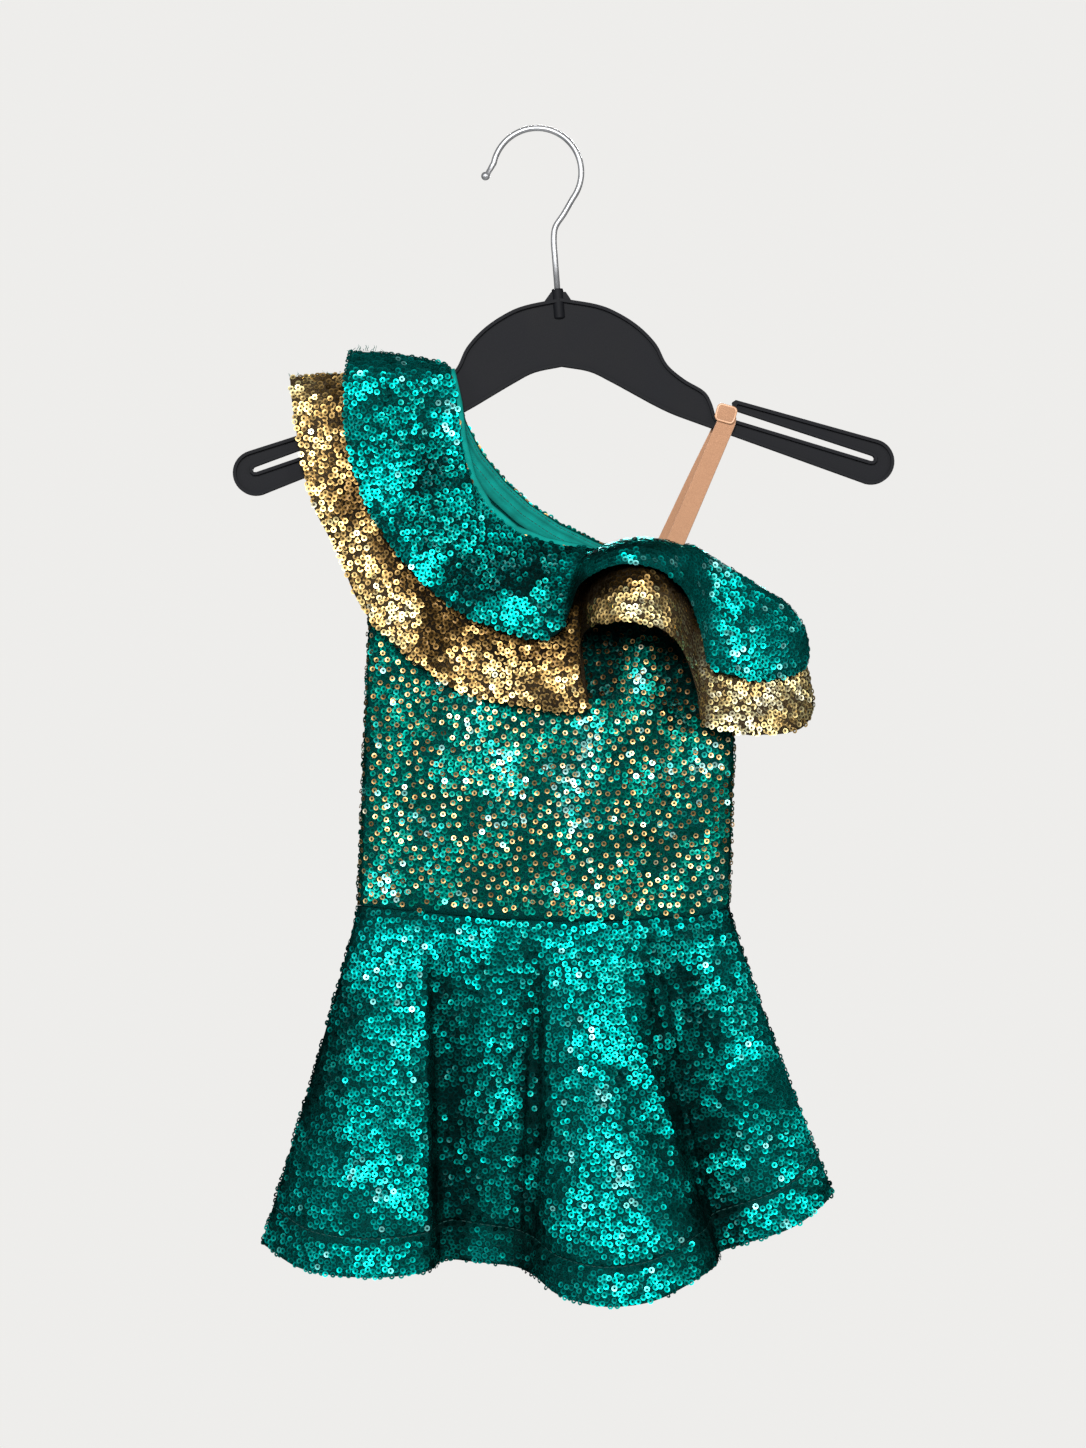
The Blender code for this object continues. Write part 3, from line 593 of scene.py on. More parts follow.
def grid_mesh(name, grid, side, sewn_rows=None, hollows=None):
    """One layer of quads on the grid, facing outwards, with its bare rows and its painted shading.
    """
    wide = len(grid[0])
    points = [tuple(np.array(point) * MM) for line in grid for point in line]
    faces = []
    for row in range(len(grid) - 1):
        for i in range(wide - 1):
            at = row * wide + i
            faces.append((at, at + 1, at + wide + 1, at + wide))
    mesh = bpy.data.meshes.new(name)
    mesh.from_pydata(points, [], faces)
    room = mesh.attributes.new("room", "FLOAT", "POINT")
    sewn = [1.0] * len(grid) if sewn_rows is None else sewn_rows
    room.data.foreach_set("value", np.repeat(sewn, wide))
    # Painted shading of the layer: painted shade where positive, painted highlight where negative
    hollow = mesh.attributes.new("hollow", "FLOAT", "POINT")
    if hollows is not None:
        hollow.data.foreach_set("value", np.ravel(hollows))
    facing = sum(face.normal.y * face.area for face in mesh.polygons)
    if facing * side < 0:
        mesh.flip_normals()
    mesh.update()
    return mesh


def made_wall(piece, thickness, soft_edge=0.0):
    """The piece's layer as a thin wall of cloth, its edges rounded where a width is given."""
    wall = piece.modifiers.new("wall", "SOLIDIFY")
    wall.thickness = thickness * MM
    wall.offset = 0.0
    if soft_edge:
        rounding = piece.modifiers.new("soft edge", "BEVEL")
        rounding.width = soft_edge * MM
        rounding.segments = 2
    settled = settled_mesh(piece)
    piece.modifiers.clear()
    piece.data = settled
    settled.shade_smooth()
    return piece


def mesh_cloth(name, mesh, finish):
    """The panel's own stretch mesh on its layer."""
    return made_wall(add_piece(name, mesh.copy(), finish), MESH_CLOTH)


def ring_sequin(radius, hole_radius):
    """One sequin: a slightly cupped ring."""
    work = bmesh.new()
    rim, hole = [], []
    at_rim = work.verts.layers.float.new("rim")
    for corner in range(SEQUIN_CORNERS):
        angle = 2 * math.pi * corner / SEQUIN_CORNERS
        turn = Vector((math.cos(angle), math.sin(angle), 0.0))
        rim.append(work.verts.new(turn * radius * MM))
        rim[-1][at_rim] = 1.0
        hole.append(work.verts.new((turn * hole_radius - Vector((0, 0, SEQUIN_CUP))) * MM))
    for corner in range(SEQUIN_CORNERS):
        after = (corner + 1) % SEQUIN_CORNERS
        work.faces.new((rim[corner], rim[after], hole[after], hole[corner]))
    mesh = mesh_from(work, bpy.data.meshes.new("ring sequin"))
    return bpy.data.objects.new("ring sequin", mesh)


def new_tree(name, inputs):
    """A Geometry Nodes tree with named inputs, what they give, its helper and identifiers."""
    tree = bpy.data.node_groups.new(name, "GeometryNodeTree")
    tree.interface.new_socket("Geometry", in_out="OUTPUT", socket_type="NodeSocketGeometry")
    identifiers = {}
    for label, kind in {"Geometry": "Geometry", **inputs}.items():
        socket = tree.interface.new_socket(label, in_out="INPUT", socket_type="NodeSocket" + kind)
        identifiers[label] = socket.identifier
    add = adder(tree)
    return tree, add("NodeGroupInput").outputs, add, identifiers


def combine(add, operation, first, second):
    return add("ShaderNodeMath", {0: first, 1: second}, operation=operation)


def random_turn(add, least, most, seed):
    """A rotation drawn between two limits."""
    limits = {"Min": least, "Max": most, "Seed": seed}
    drawn = add("FunctionNodeRandomValue", limits, data_type="FLOAT_VECTOR")
    return add("FunctionNodeEulerToRotation", {"Euler": drawn})


def turned_by(add, rotation, by):
    inputs = {"Rotation": rotation, "Rotate By": by}
    return add("FunctionNodeRotateRotation", inputs, rotation_space="LOCAL")


def laid_out(add, points, thing, rotation):
    source = add("GeometryNodeObjectInfo", {"Object": thing}).outputs["Geometry"]
    inputs = {"Points": points, "Instance": source, "Rotation": rotation}
    return add("GeometryNodeInstanceOnPoints", inputs)


def finish_tree(add, laid, finish):
    """The tree's end: the instances made real, in their finish."""
    real = add("GeometryNodeRealizeInstances", {"Geometry": laid})
    finished = add("GeometryNodeSetMaterial", {"Geometry": real, "Material": finish})
    add("NodeGroupOutput", {"Geometry": finished})


def sewing_tree():
    """Sequins scattered evenly on a layer, tipped at random, each with its own tone, which also
    carries painted glints and the layer's painted shading.
    """
    inputs = {"Sequin": "Object", "Spacing": "Float", "Tip": "Float", "Lift": "Float"}
    inputs |= {"Patch Size": "Float", "Seed": "Int", "Finish": "Material"}
    tree, given, add, identifiers = new_tree("sew sequins", inputs)
    spacing, size, seed = given["Spacing"], given["Patch Size"], given["Seed"]
    thick = combine(add, "POWER", spacing, -2.0)
    scatter = {
        "Mesh": given["Geometry"],
        "Distance Min": spacing,
        "Density Max": combine(add, "MULTIPLY", thick, 3.0),
        "Density Factor": add(
            "GeometryNodeInputNamedAttribute", {"Name": "room"}, data_type="FLOAT"
        ),
        "Seed": seed,
    }
    sewn = add("GeometryNodeDistributePointsOnFaces", scatter, distribute_method="POISSON")

    # Its tone: the patch's cloud and tile, dark between tiles, its own luck, painted glints on a
    # few at random, and the layer's painted shade and painted highlight
    where = add("GeometryNodeInputPosition")
    patch = add("ShaderNodeTexNoise", {"Vector": where, "Scale": size, "Detail": 3.0})
    own = add("FunctionNodeRandomValue", {"Seed": seed}, data_type="FLOAT").outputs[1]
    bend = {0: patch.outputs["Color"], "Scale": 0.02}
    bend = add("ShaderNodeVectorMath", bend, operation="SCALE")
    bent = add("ShaderNodeVectorMath", {0: where, 1: bend}, operation="ADD")
    cells = {"Vector": bent, "Scale": size}
    tiles = add("ShaderNodeTexVoronoi", cells).outputs["Color"]
    tile = add("ShaderNodeSeparateXYZ", {0: tiles}).outputs
    borders = add("ShaderNodeTexVoronoi", cells, feature="DISTANCE_TO_EDGE")
    crack = between(add, borders.outputs["Distance"], -0.22, 0.0, 0.0, 0.09)
    cloud = between(add, patch.outputs["Fac"], 0.0, 1.0, 0.3, 0.7)
    tiled = {"Factor": 0.5, "A": cloud, "B": tile["X"]}
    tiled = add("ShaderNodeMix", tiled, data_type="FLOAT")
    blended = {"Factor": 0.3, "A": combine(add, "ADD", tiled, crack), "B": own}
    blended = add("ShaderNodeMix", blended, data_type="FLOAT")
    # A few sequins at random get a painted glint
    sparkling = combine(add, "ADD", blended, between(add, own, 0.0, 0.45, 0.95, 1.0))
    hollow = add("GeometryNodeInputNamedAttribute", {"Name": "hollow"}, data_type="FLOAT")
    tone = combine(add, "ADD", sparkling, combine(add, "MULTIPLY", hollow, HOLLOW_DARK))

    # Its place: it leans with its patch, tips and turns at random, and stands a little off
    unruly = cloudy(add, where, 130.0, 1.0)
    tip = combine(add, "MULTIPLY", given["Tip"], between(add, unruly, 0.6, 2.4, 0.4, 0.7))
    tip_back = combine(add, "MULTIPLY", tip, -1.0)
    least = add("ShaderNodeCombineXYZ", {"X": tip_back, "Y": tip_back, "Z": 0.0})
    most = add("ShaderNodeCombineXYZ", {"X": tip, "Y": tip, "Z": 2 * math.pi})
    turned = random_turn(add, least, most, seed)
    lie = {
        "X": between(add, tile["Y"], -TILE_LEAN, TILE_LEAN),
        "Y": between(add, tile["Z"], -TILE_LEAN, TILE_LEAN),
    }
    lying = add("FunctionNodeEulerToRotation", {"Euler": add("ShaderNodeCombineXYZ", lie)})
    rotation = turned_by(add, turned_by(add, sewn.outputs["Rotation"], lying), turned)
    raised = combine(add, "MULTIPLY", given["Lift"], between(add, own, 0.55, 1.25))
    offset = {"Vector": sewn.outputs["Normal"], "Scale": raised}
    offset = add("ShaderNodeVectorMath", offset, operation="SCALE")
    placed = {"Geometry": sewn.outputs["Points"], "Offset": offset}
    placed = add("GeometryNodeSetPosition", placed)
    toned = {
        "Geometry": laid_out(add, placed, given["Sequin"], rotation),
        "Name": "tone",
        "Value": tone,
    }
    toned = add("GeometryNodeStoreNamedAttribute", toned, data_type="FLOAT", domain="INSTANCE")
    finish_tree(add, toned, given["Finish"])
    return tree, identifiers


def made_by(tree, identifiers, name, layer, finish, values):
    """A piece that the tree makes on a layer, as a plain mesh."""
    made = bpy.data.objects.new(name, layer)
    bpy.context.scene.collection.objects.link(made)
    grown = made.modifiers.new("grown", "NODES")
    grown.node_group = tree
    grown[identifiers["Finish"]] = finish
    for label, value in values.items():
        grown[identifiers[label]] = value
    settled = settled_mesh(made)
    made.modifiers.clear()
    made.data = settled
    if not settled.materials:
        settled.materials.append(finish)
    return made


sew_tree, sew_inputs = sewing_tree()
flat_sequin = ring_sequin(SEQUIN_RADIUS, HOLE_RADIUS)
loose_sequin = ring_sequin(LOOSE_RADIUS, LOOSE_HOLE)


def give_map_cells(mesh):
    """A square of the bake's map for each sequin, so that each keeps its own colour."""
    count = len(mesh.polygons) // SEQUIN_CORNERS
    side = math.ceil(math.sqrt(count))
    corner = np.arange(SEQUIN_CORNERS) * 2 * math.pi / SEQUIN_CORNERS
    rim = CELL_FILL * np.stack([np.cos(corner), np.sin(corner)], 1)
    hole = rim * HOLE_RADIUS / SEQUIN_RADIUS
    ring = np.stack([rim, np.roll(rim, -1, 0), np.roll(hole, -1, 0), hole], axis=1)
    local = ring.reshape(-1, 2) + 0.5
    cells = np.stack([np.arange(count) % side, np.arange(count) // side], 1)
    places = (cells[:, None, :] + local[None, :, :]) / side
    layer = mesh.uv_layers.new(name="OFBake")
    layer.data.foreach_set("uv", places.reshape(-1).astype(np.float32))


def sew_sequins(name, mesh, finish, spacing, tip, lift, patch, seed, sequin=flat_sequin):
    values = {"Sequin": sequin, "Spacing": spacing * MM, "Tip": tip, "Lift": lift * MM}
    values |= {"Patch Size": patch, "Seed": seed}
    sewn = made_by(sew_tree, sew_inputs, name, mesh.copy(), finish, values)
    sewn.data.shade_smooth()
    give_map_cells(sewn.data)
    return sewn


def sequin_finish(name, tones, edge, rough_from, rough_to):
    """Metal-backed film: its colour follows each sequin's tone, which carries painted shade and
    painted glints, with a painted highlight on each ring's rim and painted shade towards its hole;
    fine scuffs dull it.
    """
    made, add, place, shader = new_finish(name)
    tone, rim = (
        add("ShaderNodeAttribute", attribute_name=own).outputs["Fac"] for own in ("tone", "rim")
    )
    # Painted highlight on each sequin's rim and painted shade towards its hole
    outline = between(add, rim, 0.62, 1.3, 0.5, 0.8)
    ringed = {"Vector": ramp(add, tone, tones), "Scale": outline}
    scuffs = cloudy(add, place, 700.0, 3.0)
    looks = {
        "Base Color": add("ShaderNodeVectorMath", ringed, operation="SCALE"),
        "Roughness": between(add, scuffs, rough_from, rough_to),
        "Metallic": 1.0,
        "Coat Weight": 0.03,
        "Coat Roughness": 0.12,
        "Specular Tint": (*edge, 1.0),
    }
    add(shader, looks)
    return made


def dimmed(add, colour, least):
    """The colour darkened by painted shade, down to its least share where the layer's painted
    shading is deepest.
    """
    deep = add("ShaderNodeAttribute", attribute_name="hollow").outputs["Fac"]
    inputs = {0: colour, "Scale": between(add, deep, 1.0, least)}
    return add("ShaderNodeVectorMath", inputs, operation="SCALE")


def ground_finish(name, dark, light):
    """Dull stretch mesh with its net of fine threads, darkened by the painted shade of its layer.
    """
    made, add, place, shader = new_finish(name)
    net = {"Vector": place, "Scale": 1100.0}
    net = add("ShaderNodeTexVoronoi", net, feature="DISTANCE_TO_EDGE").outputs["Distance"]
    looks = {
        "Base Color": dimmed(add, ramp(add, net, ((0.02, light), (0.22, dark))), 0.2),
        "Normal": bump(add, net, 0.4, 0.0002, invert=True),
        "Roughness": 0.85,
        "Specular IOR Level": 0.03,
    }
    add(shader, looks)
    return made


# Colours of the sequins, from the dullest tone to the brightest. The tone differs at random and
# also carries painted shade and painted glints, so the darkest and palest stops serve partly as
# painted shade and painted glints.
TEAL_TONES = (
    (0.00, (0.000, 0.030, 0.028)),
    (0.12, (0.000, 0.110, 0.095)),
    (0.35, (0.000, 0.200, 0.180)),
    (0.60, (0.000, 0.320, 0.295)),
    (0.82, (0.004, 0.500, 0.470)),
    (1.00, (0.260, 0.900, 0.860)),
)
DEEP_TEAL_TONES = (
    (0.00, (0.000, 0.022, 0.018)),
    (0.12, (0.000, 0.085, 0.060)),
    (0.45, (0.000, 0.125, 0.093)),
    (0.68, (0.000, 0.200, 0.160)),
    (0.82, (0.020, 0.500, 0.450)),
    (0.93, (0.480, 1.000, 0.950)),
)
GOLD_TONES = (
    (0.00, (0.070, 0.040, 0.012)),
    (0.15, (0.330, 0.205, 0.070)),
    (0.38, (0.580, 0.395, 0.150)),
    (0.56, (0.810, 0.600, 0.255)),
    (0.75, (0.950, 0.765, 0.385)),
    (0.95, (1.000, 0.900, 0.600)),
)
LOOSE_GOLD_TONES = (
    (0.00, (0.050, 0.028, 0.010)),
    (0.15, (0.300, 0.170, 0.060)),
    (0.45, (0.560, 0.370, 0.150)),
    (0.70, (0.800, 0.600, 0.300)),
    (0.95, (1.000, 0.880, 0.620)),
)
teal_sequins = sequin_finish("teal sequins", TEAL_TONES, (0.15, 0.9, 0.85), 0.34, 0.52)
deep_teal_sequins = sequin_finish(
    "deep teal sequins", DEEP_TEAL_TONES, (0.3, 0.95, 0.85), 0.38, 0.55
)
gold_sequins = sequin_finish("gold sequins", GOLD_TONES, (1.0, 0.9, 0.7), 0.34, 0.50)
loose_gold_sequins = sequin_finish(
    "loose gold sequins", LOOSE_GOLD_TONES, (1.0, 0.85, 0.6), 0.34, 0.50
)
teal_mesh = ground_finish("teal stretch mesh", (0.0, 0.012, 0.011), (0.0, 0.055, 0.050))
brown_mesh = ground_finish("brown stretch mesh", (0.014, 0.009, 0.005), (0.060, 0.042, 0.022))

# Painted shadow under the front flute, darkest at these places: x, z and the reach each way
FLUTE_HOLLOWS = (
    (32, -280, 14, 22),
    (78, -292, 13, 26),
    (54, -257, 34, 16),
)
# Painted glints on the bodice, in columns: x, z and the reach each way, how much
FRONT_GLINTS = (
    (-33, -318, 6, 26, 0.9),
    (-18, -350, 7, 24, 0.7),
    (29, -334, 9, 26, 1.1),
    (16, -362, 7, 20, 0.8),
    (52, -292, 6, 16, 1.1),
    (84, -334, 8, 20, 0.5),
    (98, -402, 10, 10, 1.2),
    (-84, -405, 8, 18, 0.6),
)
BACK_GLINTS = (
    (-30, -330, 8, 28, 0.9),
    (28, -350, 9, 26, 0.9),
    (80, -396, 9, 14, 0.9),
)
BODICE_DULL = 0.1
# How dark the painted shadow under the flute is
FLUTE_DARK = 3.6


def bodice_lay(side, x, z):
    """The painted shading of a point of the bodice: an even dulling, painted shadow deep under the
    flute, and less where painted glints brighten it.
    """
    glints = FRONT_GLINTS if side == FRONT else BACK_GLINTS
    glint = sum(light * spot(x, z, *place) for *place, light in glints)
    if side == BACK:
        return BODICE_DULL - glint
    under = max(spot(x, z, *place) for place in FLUTE_HOLLOWS)
    return BODICE_DULL + FLUTE_DARK * under - glint


def sewn_panel(slot, node, rests_on, cut, cloth, *sewn):
    """A panel with what is sewn on it; the cut, its flat width, height and area in metres, is not
    used.
    """
    fitted(slot, node, cloth, *sewn)


def bodice_panel(side_name, top, side, drapes, seed, cut):
    name = f"bodice_{side_name}"
    sewn_rows = [0.0] + [1.0] * BODICE_ROWS
    grid = bodice_grid(top, side, drapes, seed)
    # Painted shadow and painted glints of the bodice, point by point
    dull = [[bodice_lay(side, x, z) for x, y, z in line] for line in grid]
    layer = grid_mesh(name, grid, side, sewn_rows, dull)
    cloth = mesh_cloth(f"{name}_cloth", layer, teal_mesh)
    ground = sew_sequins(
        f"{name}_sequins", layer, deep_teal_sequins, BODICE_SPACING,
        tip=0.10, lift=0.8, patch=55.0, seed=seed,
    )
    sewn_rows[-2:] = 0.0, 0.0
    layer.attributes["room"].data.foreach_set("value", np.repeat(sewn_rows, len(grid[0])))
    loose = sew_sequins(
        f"{name}_gold_sequins", layer, loose_gold_sequins, LOOSE_SPACING,
        tip=0.15, lift=1.5, patch=60.0, seed=seed + 7, sequin=loose_sequin,
    )
    sewn_panel("two_tone_sequin_cloth", name, "hanger_body", cut, cloth, ground, loose)


bodice_panel("front", FRONT_TOP, FRONT, FRONT_DRAPES, 3, (0.200, 0.300, 0.0427))
bodice_panel("back", BACK_TOP, BACK, BACK_DRAPES, 11, (0.200, 0.300, 0.0445))

# The skirt is a front and a back panel of teal sequin cloth, cut flared and sewn to the
# bodice's waist seam. It falls in deep flutes, and its hem is turned up 20 mm and stitched.
# Flutes: x at the waist seam, then x, z and how far out at the hem
FRONT_FOLDS = (
    (-96.3, -148, -598.3, SEAM_OUT),
    (-85.5, -126.3, -609.1, 19),
    (-74.8, -99.2, -612.4, 29),
    (-65.6, -73.9, -611.9, 29),
    (-59, -56.8, -609.6, 23),
    (-55, -52.2, -607.3, 11),
    (-50, -43.9, -605.5, 6),
    (-38, -28, -607.4, 8),
    (-22, -11.8, -609.4, 13),
    (-9, -1.1, -613, 21),
    (4, 12.2, -621.1, 36),
    (20, 33.2, -625.3, 46),
    (34, 54.2, -624.1, 47),
    (46, 70.2, -619.4, 43),
    (55, 86.1, -611.5, 35),
    (60.5, 95.2, -606.7, 24),
    (65, 99, -601.5, 12),
    (74, 113, -596.9, 8.5),
    (87, 136, -588.9, 10),
    (96, 151.5, -578.6, 6.5),
    (103.3, 159.2, -571.4, SEAM_OUT),
)
BACK_FOLDS = (
    (-96.3, -148, -598.3, SEAM_OUT),
    (-80, -130, -606, 14),
    (-62, -104, -611, 24),
    (-48, -84, -609, 18),
    (-36, -68, -606, 8),
    (-20, -46, -609, 14),
    (-2, -16, -614, 27),
    (16, 12, -615, 30),
    (32, 38, -610, 20),
    (44, 58, -606, 9),
    (58, 80, -607, 14),
    (74, 104, -603, 25),
    (88, 130, -592, 20),
    (97, 148, -582, 10),
    (103.3, 159.2, -571.4, SEAM_OUT),
)
SKIRT_ROWS = 54
SKIRT_SPACING = 2.45
# Rows near the hem, by their height above it, closer together at its stitches
HEM_ROWS = (
    25, 22.4, 22, 21.2, 20.6, 20, 19.4, 18.8, 18, 17.6, 14, 10, 6, 3, 1.2, 0.0
)
BARE_FROM, BARE_TO = 21.4, 18.6  # height of the hem's bare stitch line
SKIRT_STEPS = 7
SKIRT_FLARE = 1.1
WAIST_TROUGH = 1.0
WAIST_REACH = 2.0
HEM_WIDTH = 20.0
HEM_PUFF = 1.1
HEM_SOFTNESS = 3.0
STITCH_TROUGH = 1.8
STITCH_REACH = 1.6
LEAST_OUT = 2.4  # the least that the skirt stands out away from its side seams
HOLLOW_REACH = 26.0
DEEP_AT_WAIST, DEEP_MORE_AT_HEM = 3.0, 9.0  # what counts as a deep hollow
# Creases: x and z where each begins and ends, half width, height
FRONT_CREASES = (
    (0, -434, 1, -556, 3, -4),
    (1, -540, -5, -612, 5, -3),
    (60, -440, 64, -492, 2.8, -4),
    (70, -496, 90, -580, 5, -6),
    (12, -434, 20, -484, 7, 2.2),
    (20, -484, 80, -600, 9, 3.2),
    (-82, -430, -104, -585, 8, 1.8),
    (-26, -450, -24, -590, 8, 1.4),
    (100, -470, 126, -572, 8, 1.8),
)
# Edges where a flute folds back sharply: x and z from and to, width and depth of the hollow
# beside them; a negative width puts the hollow on the left
FRONT_EDGES = (
    (-58.5, -436, -56.5, -600, 13, 6),
    (49, -466, 92, -590, 10, 7),
    (-3, -450, -8, -612, -11, 3),
)
BACK_EDGES = (
    (-38, -440, -70, -600, 12, 5),
    (42, -440, 54, -600, 12, 5),
)
BACK_CREASES = (
    (-66, -434, -98, -590, 8, 2),
    (-36, -440, -66, -590, 5, -2.6),
    (4, -434, 0, -596, 8, 2),
    (44, -440, 58, -590, 5, -2.6),
    (78, -440, 112, -586, 8, 1.8),
)
# Lines of painted highlight on the sequins, or of painted shade where the last column is
# positive: x and z where each begins and ends, half width, how dark
FRONT_LIGHTS = (
    (8, -452, 62, -606, 9, -0.75),
    (110, -439, 150, -553, 7, -0.8),
    (-86, -425, -90, -462, 13, -0.9),
    (-118, -546, -76, -580, 18, -0.6),
    (-34, -470, -36, -590, 18, 0.5),
    (84, -450, 106, -560, 9, 0.6),
)
BACK_LIGHTS = (
    (-66, -440, -102, -600, 9, -0.9),
    (8, -440, 6, -600, 10, -0.9),
    (80, -440, 116, -590, 8, -0.7),
)


def crease_height(creases, x, z):
    """Troughs and ridges along straight lines, fading at their ends."""
    total = 0.0
    for x_from, z_from, x_to, z_to, half_width, height in creases:
        share = (z_from - z) / (z_from - z_to)
        fade = smooth_step((share + 0.12) / 0.3) * smooth_step((1.12 - share) / 0.3)
        if fade > 0.0:
            total += fade * height * hump(x - x_from - share * (x_to - x_from), half_width)
    return total


def edge_height(edges, x, z):
    """Sharp folds: a quick drop at each edge, and a slow rise beyond it."""
    total = 0.0
    for x_from, z_from, x_to, z_to, width, depth in edges:
        share = (z_from - z) / (z_from - z_to)
        beside = (x - x_from - share * (x_to - x_from)) * math.copysign(1.0, width)
        deep = depth * smooth_step((share + 0.15) / 0.45)
        rise = math.exp(-max(beside, 0.0) / abs(width))
        total -= deep * smooth_step((beside + 1.5) / 3.0) * rise
    return total


def grid_hollows(grid, side):
    """How deep each point lies between the folds beside it, 0 on a ridge to 1."""
    depths = []
    for number, line in enumerate(grid):
        points = np.array(line)
        x, out = points[:, 0], side * points[:, 1]
        deep = np.zeros(len(x))
        for i in range(len(x)):
            near = np.abs(x - x[i]) < HOLLOW_REACH
            nearness = 1 - (np.abs(x[near] - x[i]) / HOLLOW_REACH) ** 2
            deep[i] = np.max((out[near] - out[i]) * nearness)
        drop = min(number / SKIRT_ROWS, 1.0)
        depths.append(np.clip(deep / (DEEP_AT_WAIST + DEEP_MORE_AT_HEM * drop), 0.0, 1.0))
    return np.array(depths)


def skirt_grid(folds, side, creases, edges, seed):
    columns = smooth_rows(folds, SKIRT_STEPS)
    last = len(columns) - 1
    grid = []
    for row in range(SKIRT_ROWS + len(HEM_ROWS)):
        line = []
        for number, (waist_x, hem_x, hem_z, hem_out) in enumerate(columns):
            top_z = waist_z(waist_x) - GAP / 2
            top_out = body_out(waist_x, top_z)
            length = top_z - hem_z
            if row < SKIRT_ROWS:
                drop = row / SKIRT_ROWS * (1 - HEM_ROWS[0] / length)
            else:
                drop = 1 - HEM_ROWS[row - SKIRT_ROWS] / length
            x = waist_x + drop**SKIRT_FLARE * (hem_x - waist_x)
            z = top_z + drop * (hem_z - top_z)
            out = top_out + drop * (hem_out - top_out)
            free = smooth_step(6 * number / last) * smooth_step(6 * (1 - number / last))
            loose = free * smooth_step(4 * drop)
            out += loose * crease_height(creases, x, z)
            out += loose * edge_height(edges, x, z)
            out = max(out, SEAM_OUT + free * (LEAST_OUT - SEAM_OUT))
            out += loose * RIPPLE_HEIGHT * (1 + drop) * ripple(x, z, seed)
            above_hem = (1 - drop) * length
            out += HEM_PUFF * free * smooth_step((HEM_WIDTH - above_hem) / HEM_SOFTNESS)
            out -= STITCH_TROUGH * free * hump(above_hem - HEM_WIDTH, STITCH_REACH)
            out -= WAIST_TROUGH * free * hump(drop * length, WAIST_REACH)
            out -= (SEAM_OUT - SEWN_OUT) * side_seam(number / last)
            line.append((x, side * out, z))
        grid.append(line)
    return grid


skirt_grids = {}


def skirt_panel(side_name, side, folds, creases, edges, lights, seed, cut):
    name = f"skirt_{side_name}"
    grid = skirt_grids[side_name] = skirt_grid(folds, side, creases, edges, seed)
    # Painted shade in the hollows between the flutes, and painted highlight and shade along the
    # light lines
    dull = grid_hollows(grid, side)
    for row, line in enumerate(grid):
        dull[row] += [crease_height(lights, x, z) for x, y, z in line]
    sewn_rows = [0.0] + [1.0] * (SKIRT_ROWS - 1)
    sewn_rows += [0.0 if BARE_TO < height < BARE_FROM else 1.0 for height in HEM_ROWS]
    layer = grid_mesh(name, grid, side, sewn_rows, dull)
    cloth = mesh_cloth(f"{name}_cloth", layer, teal_mesh)
    sewn = sew_sequins(
        f"{name}_sequins", layer, teal_sequins, SKIRT_SPACING,
        tip=0.14, lift=0.9, patch=60.0, seed=seed,
    )
    on = f"bodice_{side_name}_cloth"
    sewn_panel("teal_sequin_cloth", name, on, cut, cloth, sewn)


FRONT_CUT = (0.360, 0.200, 0.0551)
BACK_CUT = (0.360, 0.200, 0.0528)
skirt_panel(
    "front", FRONT, FRONT_FOLDS, FRONT_CREASES, FRONT_EDGES, FRONT_LIGHTS, 21, FRONT_CUT
)
skirt_panel("back", BACK, BACK_FOLDS, BACK_CREASES, BACK_EDGES, BACK_LIGHTS, 29, BACK_CUT)

# Two ruffles, gold under teal, are sewn along the neckline with it and hang over the bodice.
# Each is a curved strip whose free edge is left raw. In front they roll over to the right of
# the middle, where the teal's seam lies behind the gold's.
RUFFLE_ROWS = 22
RUFFLE_SPACING = 2.3
RUFFLE_STEPS = 7
RUFFLE_RIPPLE = 0.9
EDGE_WAVER = 0.8
# Painted shadow on the gold strip where the teal one covers it: how dark, the share of its width
# where it ends, and the share over which it fades
COVERED_DARK = 1.1
COVER_ENDS, COVER_FADE = 0.62, 0.26
# The free edges turn down a little over the front flute
LIP = 4.5
LIP_MIDDLE_X = 52.0
LIP_REACH = 34.0
LIP_FROM = 0.84  # share of the way to the free edge
